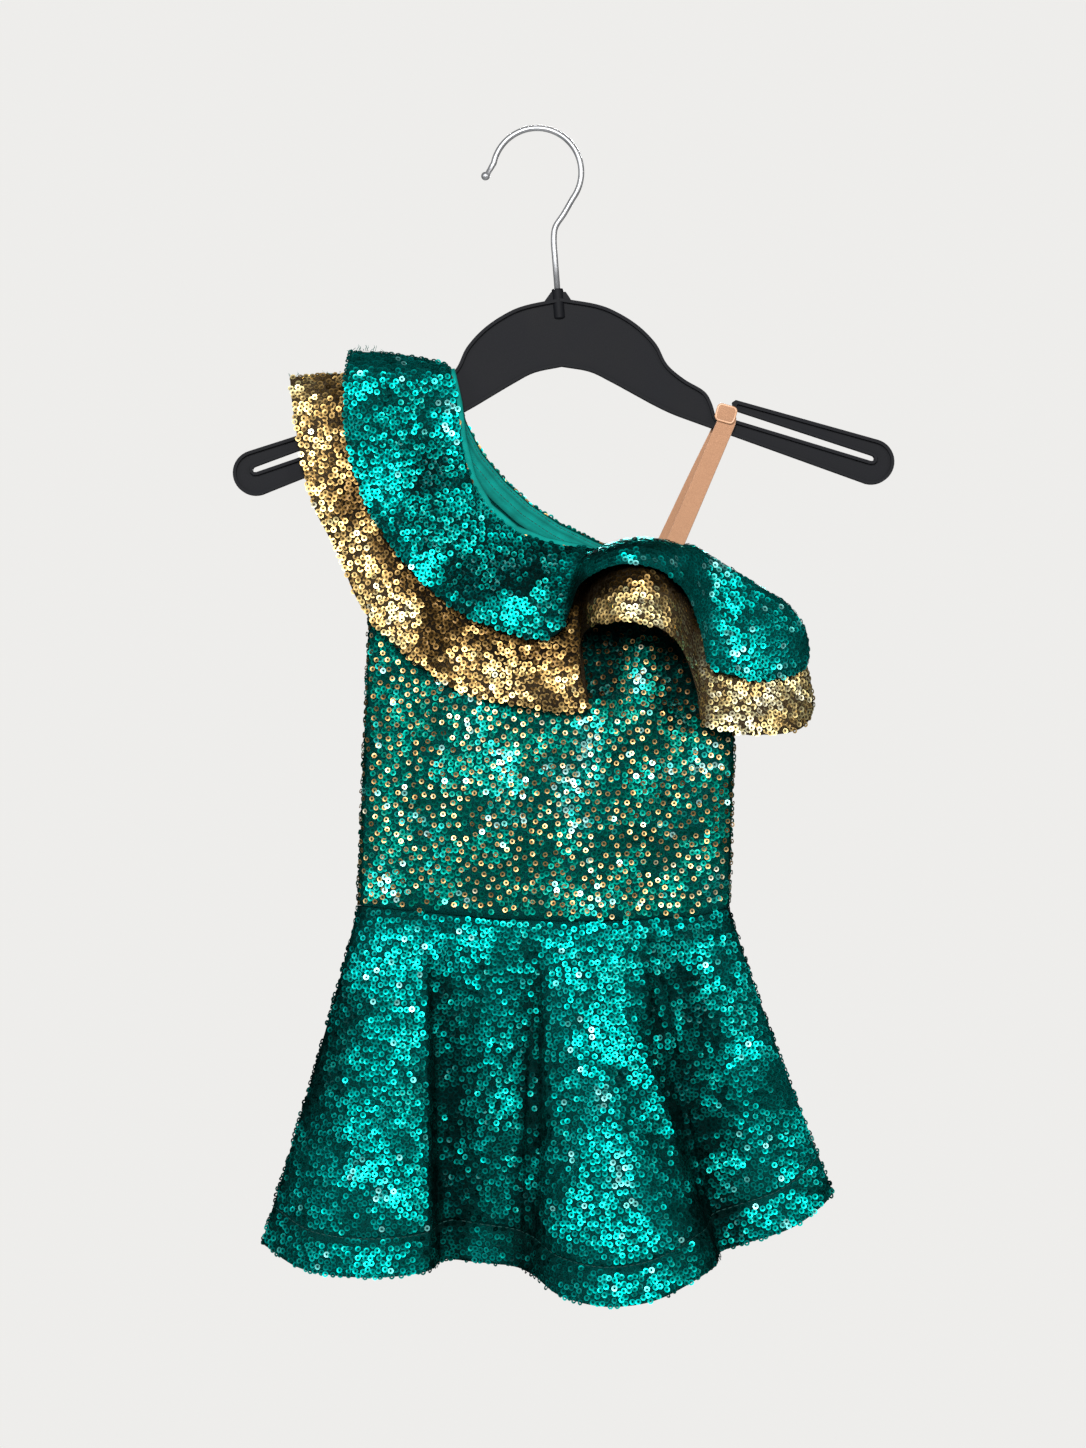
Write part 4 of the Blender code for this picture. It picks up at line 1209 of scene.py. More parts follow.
# Rows: x and z of the seam and how far over the bodice, then x, z and out of the bend, then
# of the free edge
GOLD_FRONT = (
    (-47.9, -128, 1.9 * LAYER, -90, -130, 3.4, -132.9, -132.3, SEAM_OUT),
    (-44.5, -139, 1.6 * LAYER, -86, -143, 16, -131, -149, 7),
    (-42, -155.5, LAYER, -86, -163, 14, -127, -172, 10),
    (-39.8, -172.5, LAYER, -80, -185, 14, -119.5, -203, 12),
    (-35, -190, LAYER, -70, -206, 14, -106, -229, 11),
    (-26, -205, LAYER, -57, -228, 17, -92.5, -259, 14),
    (-12, -216.5, LAYER, -40, -245, 17, -70, -281.5, 18),
    (2.5, -222, LAYER, -21, -256, 19, -43, -300.5, 17),
    (16.5, -225, LAYER, -2, -262, 19, -12, -308.5, 20),
    (27, -227, LAYER, 14, -248, 20, 25, -309.8, 21),
    (33, -229, LAYER, 20, -242, 21, 24, -292, 24),
    (38, -231, LAYER, 25, -236, 24, 23, -274, 32),
    (44, -233, LAYER, 32, -222, 28, 29, -264.5, 48),
    (50, -235.5, LAYER, 44, -214, 36, 41, -261, 60),
    (57, -238, LAYER, 56, -212, 42, 55, -262, 63),
    (64, -240.5, LAYER, 67, -213, 38, 69, -268, 58),
    (70, -243, LAYER, 73, -220, 30, 78.5, -281, 45),
    (76, -245, LAYER, 79, -224, 24, 85, -300, 33),
    (82, -247.5, LAYER, 85, -225, 20, 87.5, -315, 26),
    (90, -250.5, LAYER, 95, -226, 17, 96, -321, 21),
    (98, -254, LAYER, 109, -229, 14, 118, -325, 18),
    (104, -256.8, LAYER, 125, -236, 11, 138, -322.5, 12),
    (107, -258.5, LAYER, 137, -246, 6, 146.5, -316, 5.5),
    (107.6, -258.8, 1.1 * LAYER, 143, -250, SEAM_OUT, 148.5, -308, SEAM_OUT),
)
TEAL_FRONT = (
    (-47.9, -126, 2.9 * LAYER, -75, -119, 5, -100.6, -118.9, SEAM_OUT),
    (-44.5, -138, 2.7 * LAYER, -75, -133, 20, -102.5, -133, 12),
    (-42, -154.5, 2 * LAYER, -72, -155, 18, -102.8, -156, 15),
    (-39.8, -171.5, 2 * LAYER, -69, -177, 19, -100, -176, 16),
    (-35, -189, 2 * LAYER, -62, -196, 19, -93, -197, 16),
    (-26, -204, 2 * LAYER, -50, -214, 22, -83, -216, 19),
    (-12, -215.5, 2 * LAYER, -33, -228, 22, -66, -238, 21),
    (2.5, -221, 2 * LAYER, -15, -238, 24, -43, -258, 23),
    (16.5, -224, 2 * LAYER, 3, -243, 25, -17, -269.5, 25),
    (27, -224.8, 1.9 * LAYER, 13, -238, 26, 2, -273, 26),
    (33, -226.6, LAYER, 18, -231, 27, 12.5, -268.5, 27),
    (38, -228.6, 0.2, 20, -221, 28, 17.8, -256, 31),
    (44, -230.6, 0.2, 27, -218, 29, 22, -244, 42),
    (50, -233.1, 0.2, 40, -212, 30, 31, -236, 50),
    (57, -235.6, 0.2, 56, -208.5, 30, 46, -230.5, 53),
    (64, -238.1, 0.2, 69, -208, 30, 62, -233, 52),
    (70, -240.6, 0.2, 79, -206, 29, 75.5, -243, 46),
    (76, -242.6, 0.2, 87, -199, 27, 83, -257, 38),
    (82, -245.1, 0.2, 93, -199, 25, 87.5, -271, 32),
    (90, -248.1, 0.2, 101, -201, 23, 92, -287, 27),
    (98, -251.6, 0.2, 115, -211, 21, 107, -293.5, 23),
    (104, -254.4, 0.2, 131, -225, 17, 130, -295, 17),
    (107, -256.1, 0.2, 144, -238, 10, 143, -289, 8.5),
    (107.6, -256.4, 0.2, 148, -250, 2.6, 146, -284, 2.6),
)
GOLD_BACK = (
    (-47.9, -128, 1.9 * LAYER, -90, -130, 3.4, -132.5, -132.5, SEAM_OUT),
    (-43.5, -138, 1.3 * LAYER, -84, -143, 16, -129.5, -150, 8),
    (-38.7, -155.5, LAYER, -80, -170, 14, -121, -183, 12),
    (-29.6, -172.7, LAYER, -69, -195, 14, -109, -213, 11),
    (-17.2, -187.8, LAYER, -54, -215, 17, -92, -243, 17),
    (-3.8, -200, LAYER, -35, -236, 17, -71, -270, 16),
    (12.4, -211, LAYER, -12, -250, 20, -43, -292, 23),
    (31, -220, LAYER, 14, -258, 18, -8, -303, 16),
    (47.3, -226.5, LAYER, 38, -262, 22, 28, -304, 26),
    (63.5, -234, LAYER, 60, -262, 20, 60, -306, 17),
    (79.6, -241.6, LAYER, 84, -250, 20, 90, -312, 24),
    (94.2, -249.6, LAYER, 108, -232, 17, 118, -319, 17),
    (104.9, -256.6, LAYER, 131, -236, 10, 140.5, -316.5, 9),
    (107.6, -258.8, 1.1 * LAYER, 143, -250, SEAM_OUT, 148.5, -308, SEAM_OUT),
)
TEAL_BACK = (
    (-47.9, -126, 2.9 * LAYER, -75, -119, 5, -100.6, -118.9, SEAM_OUT),
    (-43.5, -137, 2.8 * LAYER, -73, -133, 20, -102, -134, 12.5),
    (-38.7, -154.5, 2 * LAYER, -68, -158, 19, -98, -165, 16),
    (-29.6, -171.7, 2 * LAYER, -58, -180, 19, -88, -192, 16),
    (-17.2, -186.8, 2 * LAYER, -43, -200, 21, -72, -215, 21),
    (-3.8, -199, 2 * LAYER, -26, -216, 22, -52, -236, 21),
    (12.4, -210, 2 * LAYER, -6, -228, 25, -27, -250, 27),
    (31, -219, 2 * LAYER, 18, -236, 24, 4, -262, 22),
    (47.3, -225.5, 2 * LAYER, 40, -236, 27, 32, -268, 30),
    (63.5, -231.6, LAYER, 62, -234, 25, 60, -275, 23),
    (79.6, -239.2, 0.2, 86, -222, 25, 84, -284, 28),
    (94.2, -247.2, 0.2, 110, -212, 22, 108, -290, 22),
    (104.9, -254.2, 0.2, 133, -229, 13, 136, -289, 12.5),
    (107.6, -256.4, 0.2, 148, -250, 2.6, 146, -284, 2.6),
)


def ruffle_grid(sections, side, seed):
    """Each section is a bent line from the neckline seam to the free edge."""
    stations = smooth_rows(sections, RUFFLE_STEPS)
    last = len(stations) - 1
    grid = []
    for row in range(RUFFLE_ROWS + 1):
        v = row / RUFFLE_ROWS
        line = []
        for number, station in enumerate(stations):
            seam_x, seam_z, over = station[0:3]
            seam = np.array((seam_x, seam_z, body_out(seam_x, seam_z) + over))
            bend, edge = station[3:6], station[6:9]
            x, z, out = (1 - v) ** 2 * seam + 2 * v * (1 - v) * bend + v * v * edge
            free = smooth_step(9 * number / last) * smooth_step(9 * (1 - number / last))
            out += free * v * RUFFLE_RIPPLE * ripple(x * 1.2, z * 1.2 + out, seed)
            z += v**4 * EDGE_WAVER * ripple(1.4 * x, out, seed + 5)
            if side == FRONT:
                turned = smooth_step((v - LIP_FROM) / (1 - LIP_FROM))
                z -= LIP * turned * hump(x - LIP_MIDDLE_X, LIP_REACH)
            line.append((x, side * out, z))
        grid.append(line)
    return grid


ruffle_grids = {}


def ruffle_hollows(grid, colour, lay, spots):
    """Painted shading: painted shadow where the gold strip passes under the teal one, painted
    light and shade along its length, and spots of painted shade and painted highlight.
    """
    wide = len(grid[0])
    stretch = np.interp(np.linspace(0, 1, wide), *np.array(lay).T)
    dull = np.array([stretch] * len(grid))
    for row, line in enumerate(grid):
        if colour == "gold":
            bare = smooth_step((row / RUFFLE_ROWS - COVER_ENDS) / COVER_FADE)
            dull[row] += COVERED_DARK * (1 - bare)
        for i, (x, y, z) in enumerate(line):
            dull[row, i] += sum(depth * spot(x, z, *place) for *place, depth in spots)
    return dull


def ruffle(colour, side_name, sections, seed, cut, lay, spots):
    name = f"ruffle_{colour}_{side_name}"
    side = FRONT if side_name == "front" else BACK
    ground, sequins = RUFFLE_CLOTHS[colour]
    grid = ruffle_grids[colour, side_name] = ruffle_grid(sections, side, seed)
    layer = grid_mesh(name, grid, side, None, ruffle_hollows(grid, colour, lay, spots))
    cloth = mesh_cloth(f"{name}_cloth", layer, ground)
    sewn = sew_sequins(
        f"{name}_sequins", layer, sequins, RUFFLE_SPACING,
        tip=0.11, lift=0.6, patch=65.0, seed=seed,
    )
    on = f"bodice_{side_name}_cloth"
    sewn_panel(f"{colour}_sequin_cloth", name, on, cut, cloth, sewn)


# Painted light and shade along each ruffle: share of its length from the shoulder, how dark
# (painted highlight where negative)
GOLD_LAY = (
    (0.0, -0.1), (0.3, 0.2), (0.42, 0.8), (0.54, 0.8), (0.62, 0.1), (0.78, -0.7), (1.0, -0.6)
)
TEAL_LAY = (
    (0.0, 0.0), (0.2, 0.6), (0.42, 0.9), (0.5, 1.2),
    (0.62, 1.0), (0.72, 0.0), (0.82, -0.6), (1.0, -0.5),
)
BACK_LAY = ((0.0, 0.1), (0.5, 0.2), (1.0, 0.0))
# Spots of painted shade, or of painted highlight where the last column is negative: x, z, reach
# each way, how dark
GOLD_FRONT_SPOTS = (
    (-55, -268, 8, 22, 1.3),
    (-103, -200, 7, 22, 0.8),
    (-70, -259, 10, 12, -0.6),
    (12, -290, 16, 12, -0.4),
    (19, -253, 8, 14, 1.4),
    (45, -238, 26, 9, 1.6),
    (50, -257, 26, 6, -0.9),
    (84, -282, 6, 16, -0.7),
)
TEAL_FRONT_SPOTS = (
    (-59, -184, 16, 16, 0.7),
    (-19, -238, 24, 14, 0.8),
    (-79, -191, 9, 12, -0.9),
    (-10, -259, 14, 8, -1.2),
    (-64, -238, 9, 9, -1.1),
    (-44, -156, 6, 14, -0.9),
    (48, -236, 30, 6, -1.8),
)
GOLD_BACK_SPOTS = ((-60, -230, 9, 20, 1.0), (30, -270, 10, 20, 0.9))
TEAL_BACK_SPOTS = ((-50, -190, 16, 16, 0.7), (10, -230, 20, 14, 0.7))
RUFFLE_CLOTHS = {"gold": (brown_mesh, gold_sequins), "teal": (teal_mesh, teal_sequins)}
# Each ruffle: colour, side, sections, seed, flat width, height and area in metres, painted light
# and shade along it and in spots
RUFFLES = (
    ("gold", "front", GOLD_FRONT, 41, (0.50, 0.09, 0.0288), GOLD_LAY, GOLD_FRONT_SPOTS),
    ("gold", "back", GOLD_BACK, 43, (0.42, 0.09, 0.0268), BACK_LAY, GOLD_BACK_SPOTS),
    ("teal", "front", TEAL_FRONT, 47, (0.44, 0.07, 0.0186), TEAL_LAY, TEAL_FRONT_SPOTS),
    ("teal", "back", TEAL_BACK, 53, (0.36, 0.07, 0.0170), BACK_LAY, TEAL_BACK_SPOTS),
)
for row in RUFFLES:
    ruffle(*row)

# The neckline is bound with a strip of smooth teal knit, held by two rows of machine
# stitches. It shows inside the back neckline, 12.5 mm wide, and as a 3 mm edge in front.
BINDING_CLOTH = 0.9
BINDING_WIDTH = 12.5
BINDING_BELOW_EDGE = 0.6
BINDING_PUCKER = 0.12
NECK_FROM_SHARE = 0.405
NECK_TO_SHARE = 0.93
BINDING_STATIONS = 90
# Painted shade of soft folds along the binding, darkest at its edges: distance down from its edge,
# and how dark
BINDING_FOLDS = (
    (0.0, 0.5), (1.2, 0.15), (2.4, 0.2), (3.4, 0.65), (4.4, 0.2), (6.0, 0.0),
    (7.6, 0.1), (8.6, 0.35), (9.4, 0.1), (10.4, 0.3), (12.5, 0.8),
)
BAND_FROM_SHARE = 0.34
BAND_TO_SHARE = 0.80
BAND_WIDTH = 3.0
BAND_OVERLAP = 1.2
BAND_OUT, BAND_ROLL = 0.3, 0.7
BAND_ROWS = 10
BINDING_ROWS = 18
STITCH_LENGTH = 1.9
STITCH_RADIUS = 0.17
STITCH_SPACING = 2.4
STITCH_OUT = 0.05
STITCH_ROWS_DOWN = (1.9, 7.2)


def binding_point(points, i, width, rise):
    x, z = points[i]
    before, after = points[max(i - 1, 0)], points[min(i + 1, len(points) - 1)]
    along = Vector((after[0] - before[0], after[1] - before[1])).normalized()
    low_x = x + width * along.y
    low_z = z - width * along.x
    inward = CLOTH / 2 + GAP + BINDING_CLOTH / 2 + rise
    return (low_x, BACK * (body_out(low_x, low_z) - inward), low_z)


def knit_finish():
    made, add, place, shader = new_finish("teal knit")
    stretch = add("ShaderNodeMapping", {"Vector": place, "Scale": (1.0, 1.0, 2.4)})
    loops = add("ShaderNodeTexVoronoi", {"Vector": stretch, "Scale": 1300.0})
    cloud = cloudy(add, place, 120.0, 4.0)
    colour = ramp(add, cloud, ((0.3, (0.0, 0.165, 0.140)), (0.7, (0.0, 0.250, 0.215))))
    looks = {
        # The knit is darkened by the painted shade of its folds and edges
        "Base Color": dimmed(add, colour, 0.25),
        "Normal": bump(add, loops.outputs["Distance"], 0.35, 0.0003),
        "Roughness": 0.75,
        "Specular IOR Level": 0.1,
        "Sheen Weight": 0.12,
        "Sheen Tint": (0.1, 0.8, 0.7, 1.0),
    }
    add(shader, looks)
    return made


def line_tree():
    """Small pieces along a line, at even spacing, turned at random within a limit."""
    inputs = {"Piece": "Object", "Spacing": "Float", "Turn": "Float", "Seed": "Int"}
    tree, given, add, identifiers = new_tree(
        "set along a line", {**inputs, "Finish": "Material"}
    )
    line = add("GeometryNodeMeshToCurve", {"Mesh": given["Geometry"]})
    steps = {"Curve": line, "Length": given["Spacing"]}
    points = add("GeometryNodeCurveToPoints", steps, mode="LENGTH")
    back = combine(add, "MULTIPLY", given["Turn"], -1.0)
    least, most = (
        add("ShaderNodeCombineXYZ", dict.fromkeys("XYZ", limit)) for limit in (back, given["Turn"])
    )
    turned = random_turn(add, least, most, given["Seed"])
    along = {"Vector": points.outputs["Tangent"]}
    aligned = add("FunctionNodeAlignRotationToVector", along, axis="X")
    rotation = turned_by(add, aligned, turned)
    laid = laid_out(add, points.outputs["Points"], given["Piece"], rotation)
    finish_tree(add, laid, given["Finish"])
    return tree, identifiers


set_tree, set_inputs = line_tree()


def set_along(name, points, piece, spacing, turn, seed, finish):
    mesh = bpy.data.meshes.new(name)
    edges = [(i, i + 1) for i in range(len(points) - 1)]
    mesh.from_pydata([tuple(np.array(point) * MM) for point in points], edges, [])
    values = {"Piece": piece, "Spacing": spacing * MM, "Turn": turn, "Seed": seed}
    made = made_by(set_tree, set_inputs, name, mesh, finish, values)
    made.data.shade_smooth()
    return made


def stitch_piece(length, radius):
    ends = ((-0.5, 0.3), (-0.35, 1.0), (0.35, 1.0), (0.5, 0.3))
    points = [(share * length, 0.0, 0.0) for share, swell in ends]
    mesh = round_wire_mesh("stitch", points, [radius * swell for share, swell in ends], 6)
    return bpy.data.objects.new("stitch", mesh)


def thread_finish(name, dark, light):
    made, add, place, shader = new_finish(name)
    twist = cloudy(add, place, 2500.0, 2.0)
    add(shader, {"Base Color": ramp(add, twist, ((0.35, dark), (0.65, light))), "Roughness": 0.6})
    return made


def neck_line(top, first_share, last_share):
    shares = np.linspace(first_share, last_share, BINDING_STATIONS)
    return [outline_point(top, share) for share in shares]


back_neck = neck_line(BACK_TOP, NECK_FROM_SHARE, NECK_TO_SHARE)
binding_grid = []
for row in range(BINDING_ROWS + 1):
    width = BINDING_BELOW_EDGE + (BINDING_WIDTH - BINDING_BELOW_EDGE) * row / BINDING_ROWS
    line = []
    for i in range(BINDING_STATIONS):
        line.append(binding_point(back_neck, i, width, BINDING_PUCKER * math.sin(1.7 * i)))
    binding_grid.append(line)
# Painted shade of the binding's folds, row by row
folds = np.interp(np.linspace(0, BINDING_WIDTH, BINDING_ROWS + 1), *np.array(BINDING_FOLDS).T)
folds = np.repeat(folds, BINDING_STATIONS)
knit = knit_finish()
binding_mesh = grid_mesh("neck_binding", binding_grid, FRONT, None, folds)
binding = add_piece("neck_binding_knit", binding_mesh, knit)
made_wall(binding, BINDING_CLOTH, soft_edge=0.3)
front_neck = neck_line(FRONT_TOP, BAND_FROM_SHARE, BAND_TO_SHARE)
band_grid = []
for row in range(BAND_ROWS + 1):
    up = row / BAND_ROWS
    line = []
    for i in range(BINDING_STATIONS):
        width = BAND_OVERLAP - (BAND_WIDTH + BAND_OVERLAP) * up
        x, y, z = binding_point(front_neck, i, width, 0.0)
        out = body_out(x, z) + BAND_OUT + BAND_ROLL * math.sin(math.pi * up)
        line.append((x, FRONT * out, z))
    band_grid.append(line)
# Painted shade along both edges of the front band
band_folds = np.repeat(np.linspace(-1, 1, BAND_ROWS + 1) ** 4 * 0.8, BINDING_STATIONS)
band_mesh = grid_mesh("front_neck_band", band_grid, FRONT, None, band_folds)
front_band = made_wall(add_piece("front_neck_band", band_mesh, knit), BINDING_CLOTH)
teal_thread = thread_finish("teal thread", (0.0, 0.020, 0.018), (0.0, 0.075, 0.068))
neck_stitch = stitch_piece(STITCH_LENGTH, STITCH_RADIUS)
stitch_lines = []
for number, down in enumerate(STITCH_ROWS_DOWN):
    out = BINDING_CLOTH / 2 + STITCH_OUT
    points = [binding_point(back_neck, i, down, out) for i in range(BINDING_STATIONS)]
    name = f"neck_stitches_{number + 1}"
    stitch_lines.append(
        set_along(name, points, neck_stitch, STITCH_SPACING, 0.0, 5, teal_thread)
    )
sewn_panel(
    "teal_binding", "neck_binding", "bodice_back_cloth", (0.185, 0.0125, 0.0022),
    binding, front_band, *stitch_lines,
)

# The hems are held by a row of stitches, and the shoulder seam is left raw, with the
# ruffles' frayed threads standing up along it.
HEM_STITCH_LENGTH = 2.6
HEM_STITCH_SPACING = 3.4
HEM_STITCH_RADIUS = 0.2
HEM_STITCH_TURN = 0.08
HEM_STITCH_OUT = 0.5
FRAY_LENGTH = 3.6
FRAY_RADIUS = 0.14
FRAY_TIP = 0.05
FRAY_SPACING = 0.9
FRAY_TURN = 1.2


def fray_piece():
    bend = ((0.0, 0.0), (0.35, 0.12), (0.7, 0.05), (1.0, 0.3))
    points = [(FRAY_LENGTH * sideways, 0.0, FRAY_LENGTH * up) for up, sideways in bend]
    mesh = round_wire_mesh("fray", points, [*[FRAY_RADIUS] * 3, FRAY_TIP], 4)
    return bpy.data.objects.new("fray", mesh)


hem_stitch = stitch_piece(HEM_STITCH_LENGTH, HEM_STITCH_RADIUS)
stitch_row = SKIRT_ROWS + HEM_ROWS.index(HEM_WIDTH)
for side_name, side in (("front", FRONT), ("back", BACK)):
    points = [(x, y + side * HEM_STITCH_OUT, z) for x, y, z in skirt_grids[side_name][stitch_row]]
    name = f"hem_stitches_{side_name}"
    stitched = set_along(
        name, points, hem_stitch, HEM_STITCH_SPACING, HEM_STITCH_TURN, 6, teal_thread
    )
    fitted("teal_sequin_cloth", None, stitched)
fray = fray_piece()
dark_thread = thread_finish("frayed thread", (0.005, 0.03, 0.025), (0.03, 0.20, 0.17))
for colour, lift in (("teal", 0.6), ("gold", 0.4)):
    seam = [line[0] for line in ruffle_grids[colour, "front"]]
    points = [(x, y * 0.5, z + lift) for x, y, z in seam]
    frayed = set_along(
        f"shoulder_fray_{colour}", points, fray, FRAY_SPACING, FRAY_TURN, 8, dark_thread
    )
    fitted(f"{colour}_sequin_cloth", None, frayed)

# The strap is one length of 10 mm plush elastic over the hanger's bar. Its ends are sewn
# inside the two necklines, and a slider of enamelled wire gathers it at the top.
# Its run: x, z, y
STRAP = (
    (61.3, -252, -6.6),
    (65.1, -243, -7),
    (75.3, -219, -6.6),
    (88.5, -188, -5.4),
    (99.1, -163, -4.4),
    (101.4, -157.6, -4.2),
    (102, -154.9, -4.1),
    (102.2, -153.5, -2.8),
    (102.3, -153.2, 0),
    (102.1, -153.5, 2.8),
    (101.8, -154.9, 4.1),
    (100.4, -157.6, 4.2),
    (97.8, -163, 4.4),
    (86.5, -186, 4.6),
    (73.7, -213, 5.2),
    (62.7, -236, 5.8),
    (58.4, -245, 6.2),
)
STRAP_CLOTH = 1.0
STRAP_WIDTH = 10.0
STRAP_LEAN = math.radians(15.9)
STRAP_STEPS = 6
STRAP_COLUMNS = 12
SLIDER_WIDTH = 11.2
SLIDER_HEIGHT = 9.8
SLIDER_CORNER = 2.0
SLIDER_CORNER_STEPS = 6
SLIDER_WIRE = 1.4
SLIDER_MIDDLE = (101.4, -152.5)
SLIDER_Y = -5.6
FOLD_HALF_WIDTH = 4.7
FOLD_HALF_HEIGHT = 4.2
FOLD_BULGE = 0.5
FOLD_STEPS = 16
RIB_SPREAD = (2.4, 1.3)  # how the ribbing runs across and along the strap


def elastic_finish():
    made, add, place, shader = new_finish("tan plush elastic")
    strip = add("ShaderNodeAttribute", attribute_name="along_strap").outputs["Vector"]
    ribs = {"Vector": strip, "Scale": 1.0, "Distortion": 0.0}
    ribs = add("ShaderNodeTexWave", ribs, bands_direction="X").outputs["Fac"]
    plush = {"Factor": 0.55, "A": ribs, "B": cloudy(add, place, 1500.0, 4.0)}
    plush = add("ShaderNodeMix", plush, data_type="FLOAT").outputs["Result"]
    stops = ((0.2, (0.30, 0.145, 0.074)), (0.8, (0.50, 0.268, 0.152)))
    looks = {
        "Base Color": ramp(add, plush, stops),
        "Normal": bump(add, plush, 0.45, 0.0003),
        "Roughness": 0.85,
        "Sheen Weight": 0.5,
    }
    add(shader, looks)
    return made


def elastic_piece(name, grid, finish, places, soft_edge=0.0):
    """A piece of the elastic, with the run of its ribbing."""
    piece = add_piece(name, grid_mesh(name, grid, FRONT), finish)
    run = piece.data.attributes.new("along_strap", "FLOAT_VECTOR", "POINT")
    run.data.foreach_set("vector", np.ravel(places))
    return made_wall(piece, STRAP_CLOTH, soft_edge)


strap_path = smooth_rows(STRAP, STRAP_STEPS)
strap_across = Vector((math.cos(STRAP_LEAN), 0.0, -math.sin(STRAP_LEAN)))
strap_grid, places = [], []
travelled = 0.0
before = strap_path[0]
for x, z, y in strap_path:
    travelled += math.dist((x, z, y), before)
    before = (x, z, y)
    line = []
    for column in range(STRAP_COLUMNS + 1):
        share = 2 * column / STRAP_COLUMNS - 1
        line.append(tuple(Vector((x, y, z)) + strap_across * share * STRAP_WIDTH / 2))
        places.append((RIB_SPREAD[0] * column, RIB_SPREAD[1] * travelled, 0.0))
    strap_grid.append(line)
elastic = elastic_finish()
strap = elastic_piece("strap_elastic", strap_grid, elastic, places, soft_edge=0.35)


def enamel_finish():
    made, add, place, shader = new_finish("tan enamel")
    pull = cloudy(add, place, 500.0, 3.0)
    tint = ramp(add, pull, ((0.3, (0.50, 0.27, 0.155)), (0.7, (0.64, 0.37, 0.22))))
    add(shader, {"Base Color": tint, "Roughness": between(add, pull, 0.25, 0.4)})
    return made


def slider_point(across, up):
    x = SLIDER_MIDDLE[0] + across * math.cos(STRAP_LEAN) + up * math.sin(STRAP_LEAN)
    z = SLIDER_MIDDLE[1] - across * math.sin(STRAP_LEAN) + up * math.cos(STRAP_LEAN)
    return (x, SLIDER_Y, z)


# The strap's end is threaded up through the slider and fills it with one soft fold
fold_grid, places = [], []
for row in range(FOLD_STEPS + 1):
    up = 2 * row / FOLD_STEPS - 1
    line = []
    for column in range(FOLD_STEPS + 1):
        across = 2 * column / FOLD_STEPS - 1
        x, y, z = slider_point(FOLD_HALF_WIDTH * across, FOLD_HALF_HEIGHT * up)
        line.append((x, y - FOLD_BULGE * (1 - up**4) * (1 - across**6), z))
        rib = RIB_SPREAD[0] * STRAP_COLUMNS * column / FOLD_STEPS
        places.append((rib, RIB_SPREAD[1] * row, 0.0))
    fold_grid.append(line)
fold = elastic_piece("strap_fold", fold_grid, elastic, places)
fitted("tan_elastic", "shoulder_strap", strap, fold)

corner_x = (SLIDER_WIDTH - SLIDER_WIRE) / 2 - SLIDER_CORNER
corner_z = (SLIDER_HEIGHT - SLIDER_WIRE) / 2 - SLIDER_CORNER
ring_points = []
for number, (right, up) in enumerate(((1, 1), (-1, 1), (-1, -1), (1, -1))):
    for step in range(SLIDER_CORNER_STEPS + 1):
        angle = math.pi / 2 * (number + step / SLIDER_CORNER_STEPS)
        across = right * corner_x + SLIDER_CORNER * math.cos(angle)
        ring_points.append(slider_point(across, up * corner_z + SLIDER_CORNER * math.sin(angle)))
ring_points.append(ring_points[0])
ring_mesh = round_wire_mesh("slider", ring_points, [SLIDER_WIRE / 2] * len(ring_points), 12)
bar_points = []
for across in (-corner_x - SLIDER_CORNER, corner_x + SLIDER_CORNER):
    x, y, z = slider_point(across, 0.0)
    bar_points.append((x, y + SLIDER_WIRE / 2, z))
bar_mesh = round_wire_mesh("bar", bar_points, [SLIDER_WIRE * 0.4] * 2, 12)
slider = add_piece("slider", joined(ring_mesh, bar_mesh), enamel_finish())
slider.data.shade_smooth()
fitted("tan_coated_metal", "strap_slider", slider)

# A pale round floor under the hanging dress, two large soft lamps in front and one at its
# side, a small one by the camera for the sequins' glints, one behind, and a camera square to
# the dress.
FLOOR_Z = -0.97
FLOOR_RADIUS = 0.9
CAMERA_DISTANCE = 2.1
CAMERA_X = 0.0032
CAMERA_Z = -0.319
FRAME_HEIGHT = 0.779  # what the picture's height shows at the hanger's plane
SENSOR = 36.0
LAMP_AIM = (0.0, 0.0, -0.35)
# Lamps: place, size, watts, colour
LAMPS = {
    "key lamp": ((-0.2, -2.3, 0.6), 0.8, 76.0, (1.0, 0.99, 0.97)),
    "fill lamp": ((1.5, -1.8, 0.3), 0.9, 16.0, (1.0, 0.97, 0.92)),
    "side lamp": ((-1.8, -1.5, 0.1), 0.9, 12.0, (1.0, 1.0, 0.99)),
    "glint lamp": ((0.2, -2.4, 0.1), 0.4, 7.0, (1.0, 1.0, 1.0)),
    "back lamp": ((0.2, 2.3, 0.6), 0.8, 80.0, (1.0, 1.0, 1.0)),
}


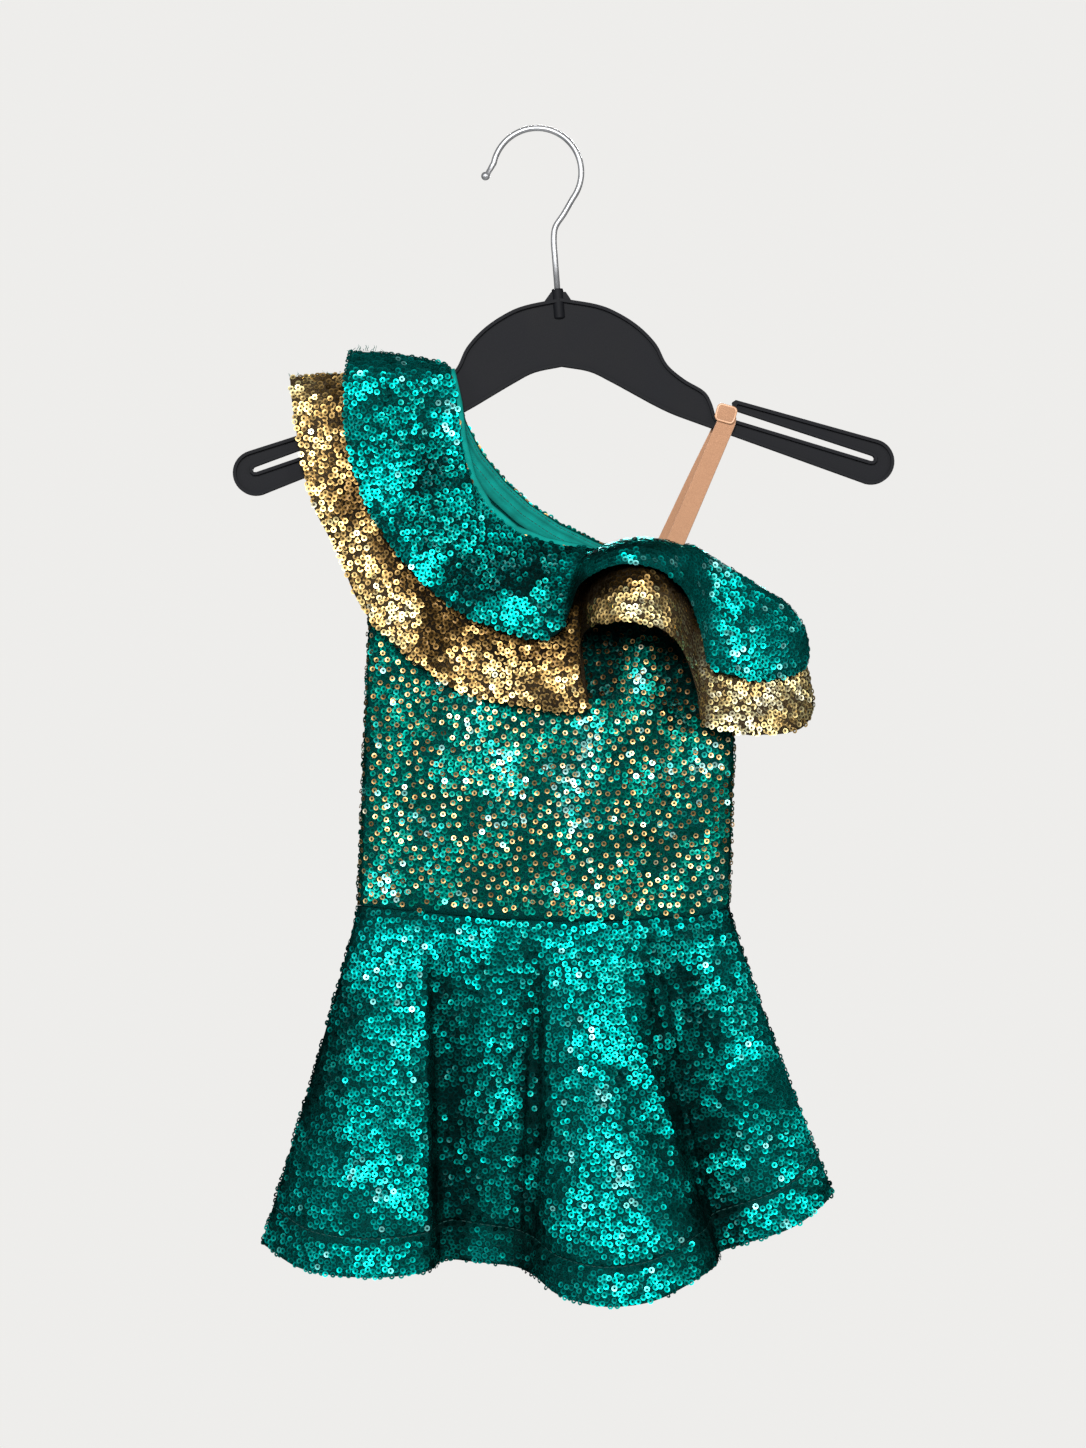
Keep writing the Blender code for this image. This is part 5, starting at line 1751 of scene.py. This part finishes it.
def floor_finish():
    made, add, place, shader = new_finish("pale floor")
    cloud = cloudy(add, place, 3.0, 5.0)
    tint = ramp(add, cloud, ((0.2, (0.40, 0.397, 0.39)), (0.8, (0.43, 0.427, 0.42))))
    add(shader, {"Base Color": tint, "Roughness": 0.9})
    return made


def add_to_scene(name, data, place):
    made = bpy.data.objects.new(name, data)
    made.location = place
    bpy.context.scene.collection.objects.link(made)
    return made


floor_work = bmesh.new()
bmesh.ops.create_circle(floor_work, cap_ends=True, segments=96, radius=FLOOR_RADIUS)
bmesh.ops.translate(floor_work, verts=floor_work.verts, vec=(0.0, 0.0, FLOOR_Z))
floor_mesh = mesh_from(floor_work, bpy.data.meshes.new("floor"))
floor = add_piece("floor", floor_mesh, floor_finish())
for name, (place, size, watts, colour) in LAMPS.items():
    light = bpy.data.lights.new(name, "AREA")
    light.shape = "DISK"
    light.size = size
    light.energy = watts
    light.color = colour
    lamp = add_to_scene(name, light, place)
    lamp.rotation_euler = (Vector(LAMP_AIM) - Vector(place)).to_track_quat("-Z", "Y").to_euler()

world = bpy.data.worlds.new("pale room")
bpy.context.scene.world = world
world.use_nodes = True
add = adder(world.node_tree)
room_light = world.node_tree.nodes["Background"]
add(room_light, {"Color": (0.80, 0.79, 0.78, 1.0), "Strength": 0.13})
seen_wall = add("ShaderNodeBackground", {"Color": (0.855, 0.848, 0.832, 1.0), "Strength": 1.0})
by_eye = add("ShaderNodeLightPath").outputs["Is Camera Ray"]
either = add("ShaderNodeMixShader", {"Fac": by_eye, 1: room_light, 2: seen_wall})
add(world.node_tree.nodes["World Output"], {"Surface": either})

camera_data = bpy.data.cameras.new("camera")
camera_data.sensor_fit = "VERTICAL"
camera_data.sensor_height = SENSOR
camera_data.lens = SENSOR * CAMERA_DISTANCE / FRAME_HEIGHT
camera = add_to_scene("camera", camera_data, (CAMERA_X, -CAMERA_DISTANCE, CAMERA_Z))
camera.rotation_euler = (math.pi / 2, 0.0, 0.0)
bpy.context.scene.camera = camera
bpy.context.scene.view_settings.view_transform = "Standard"
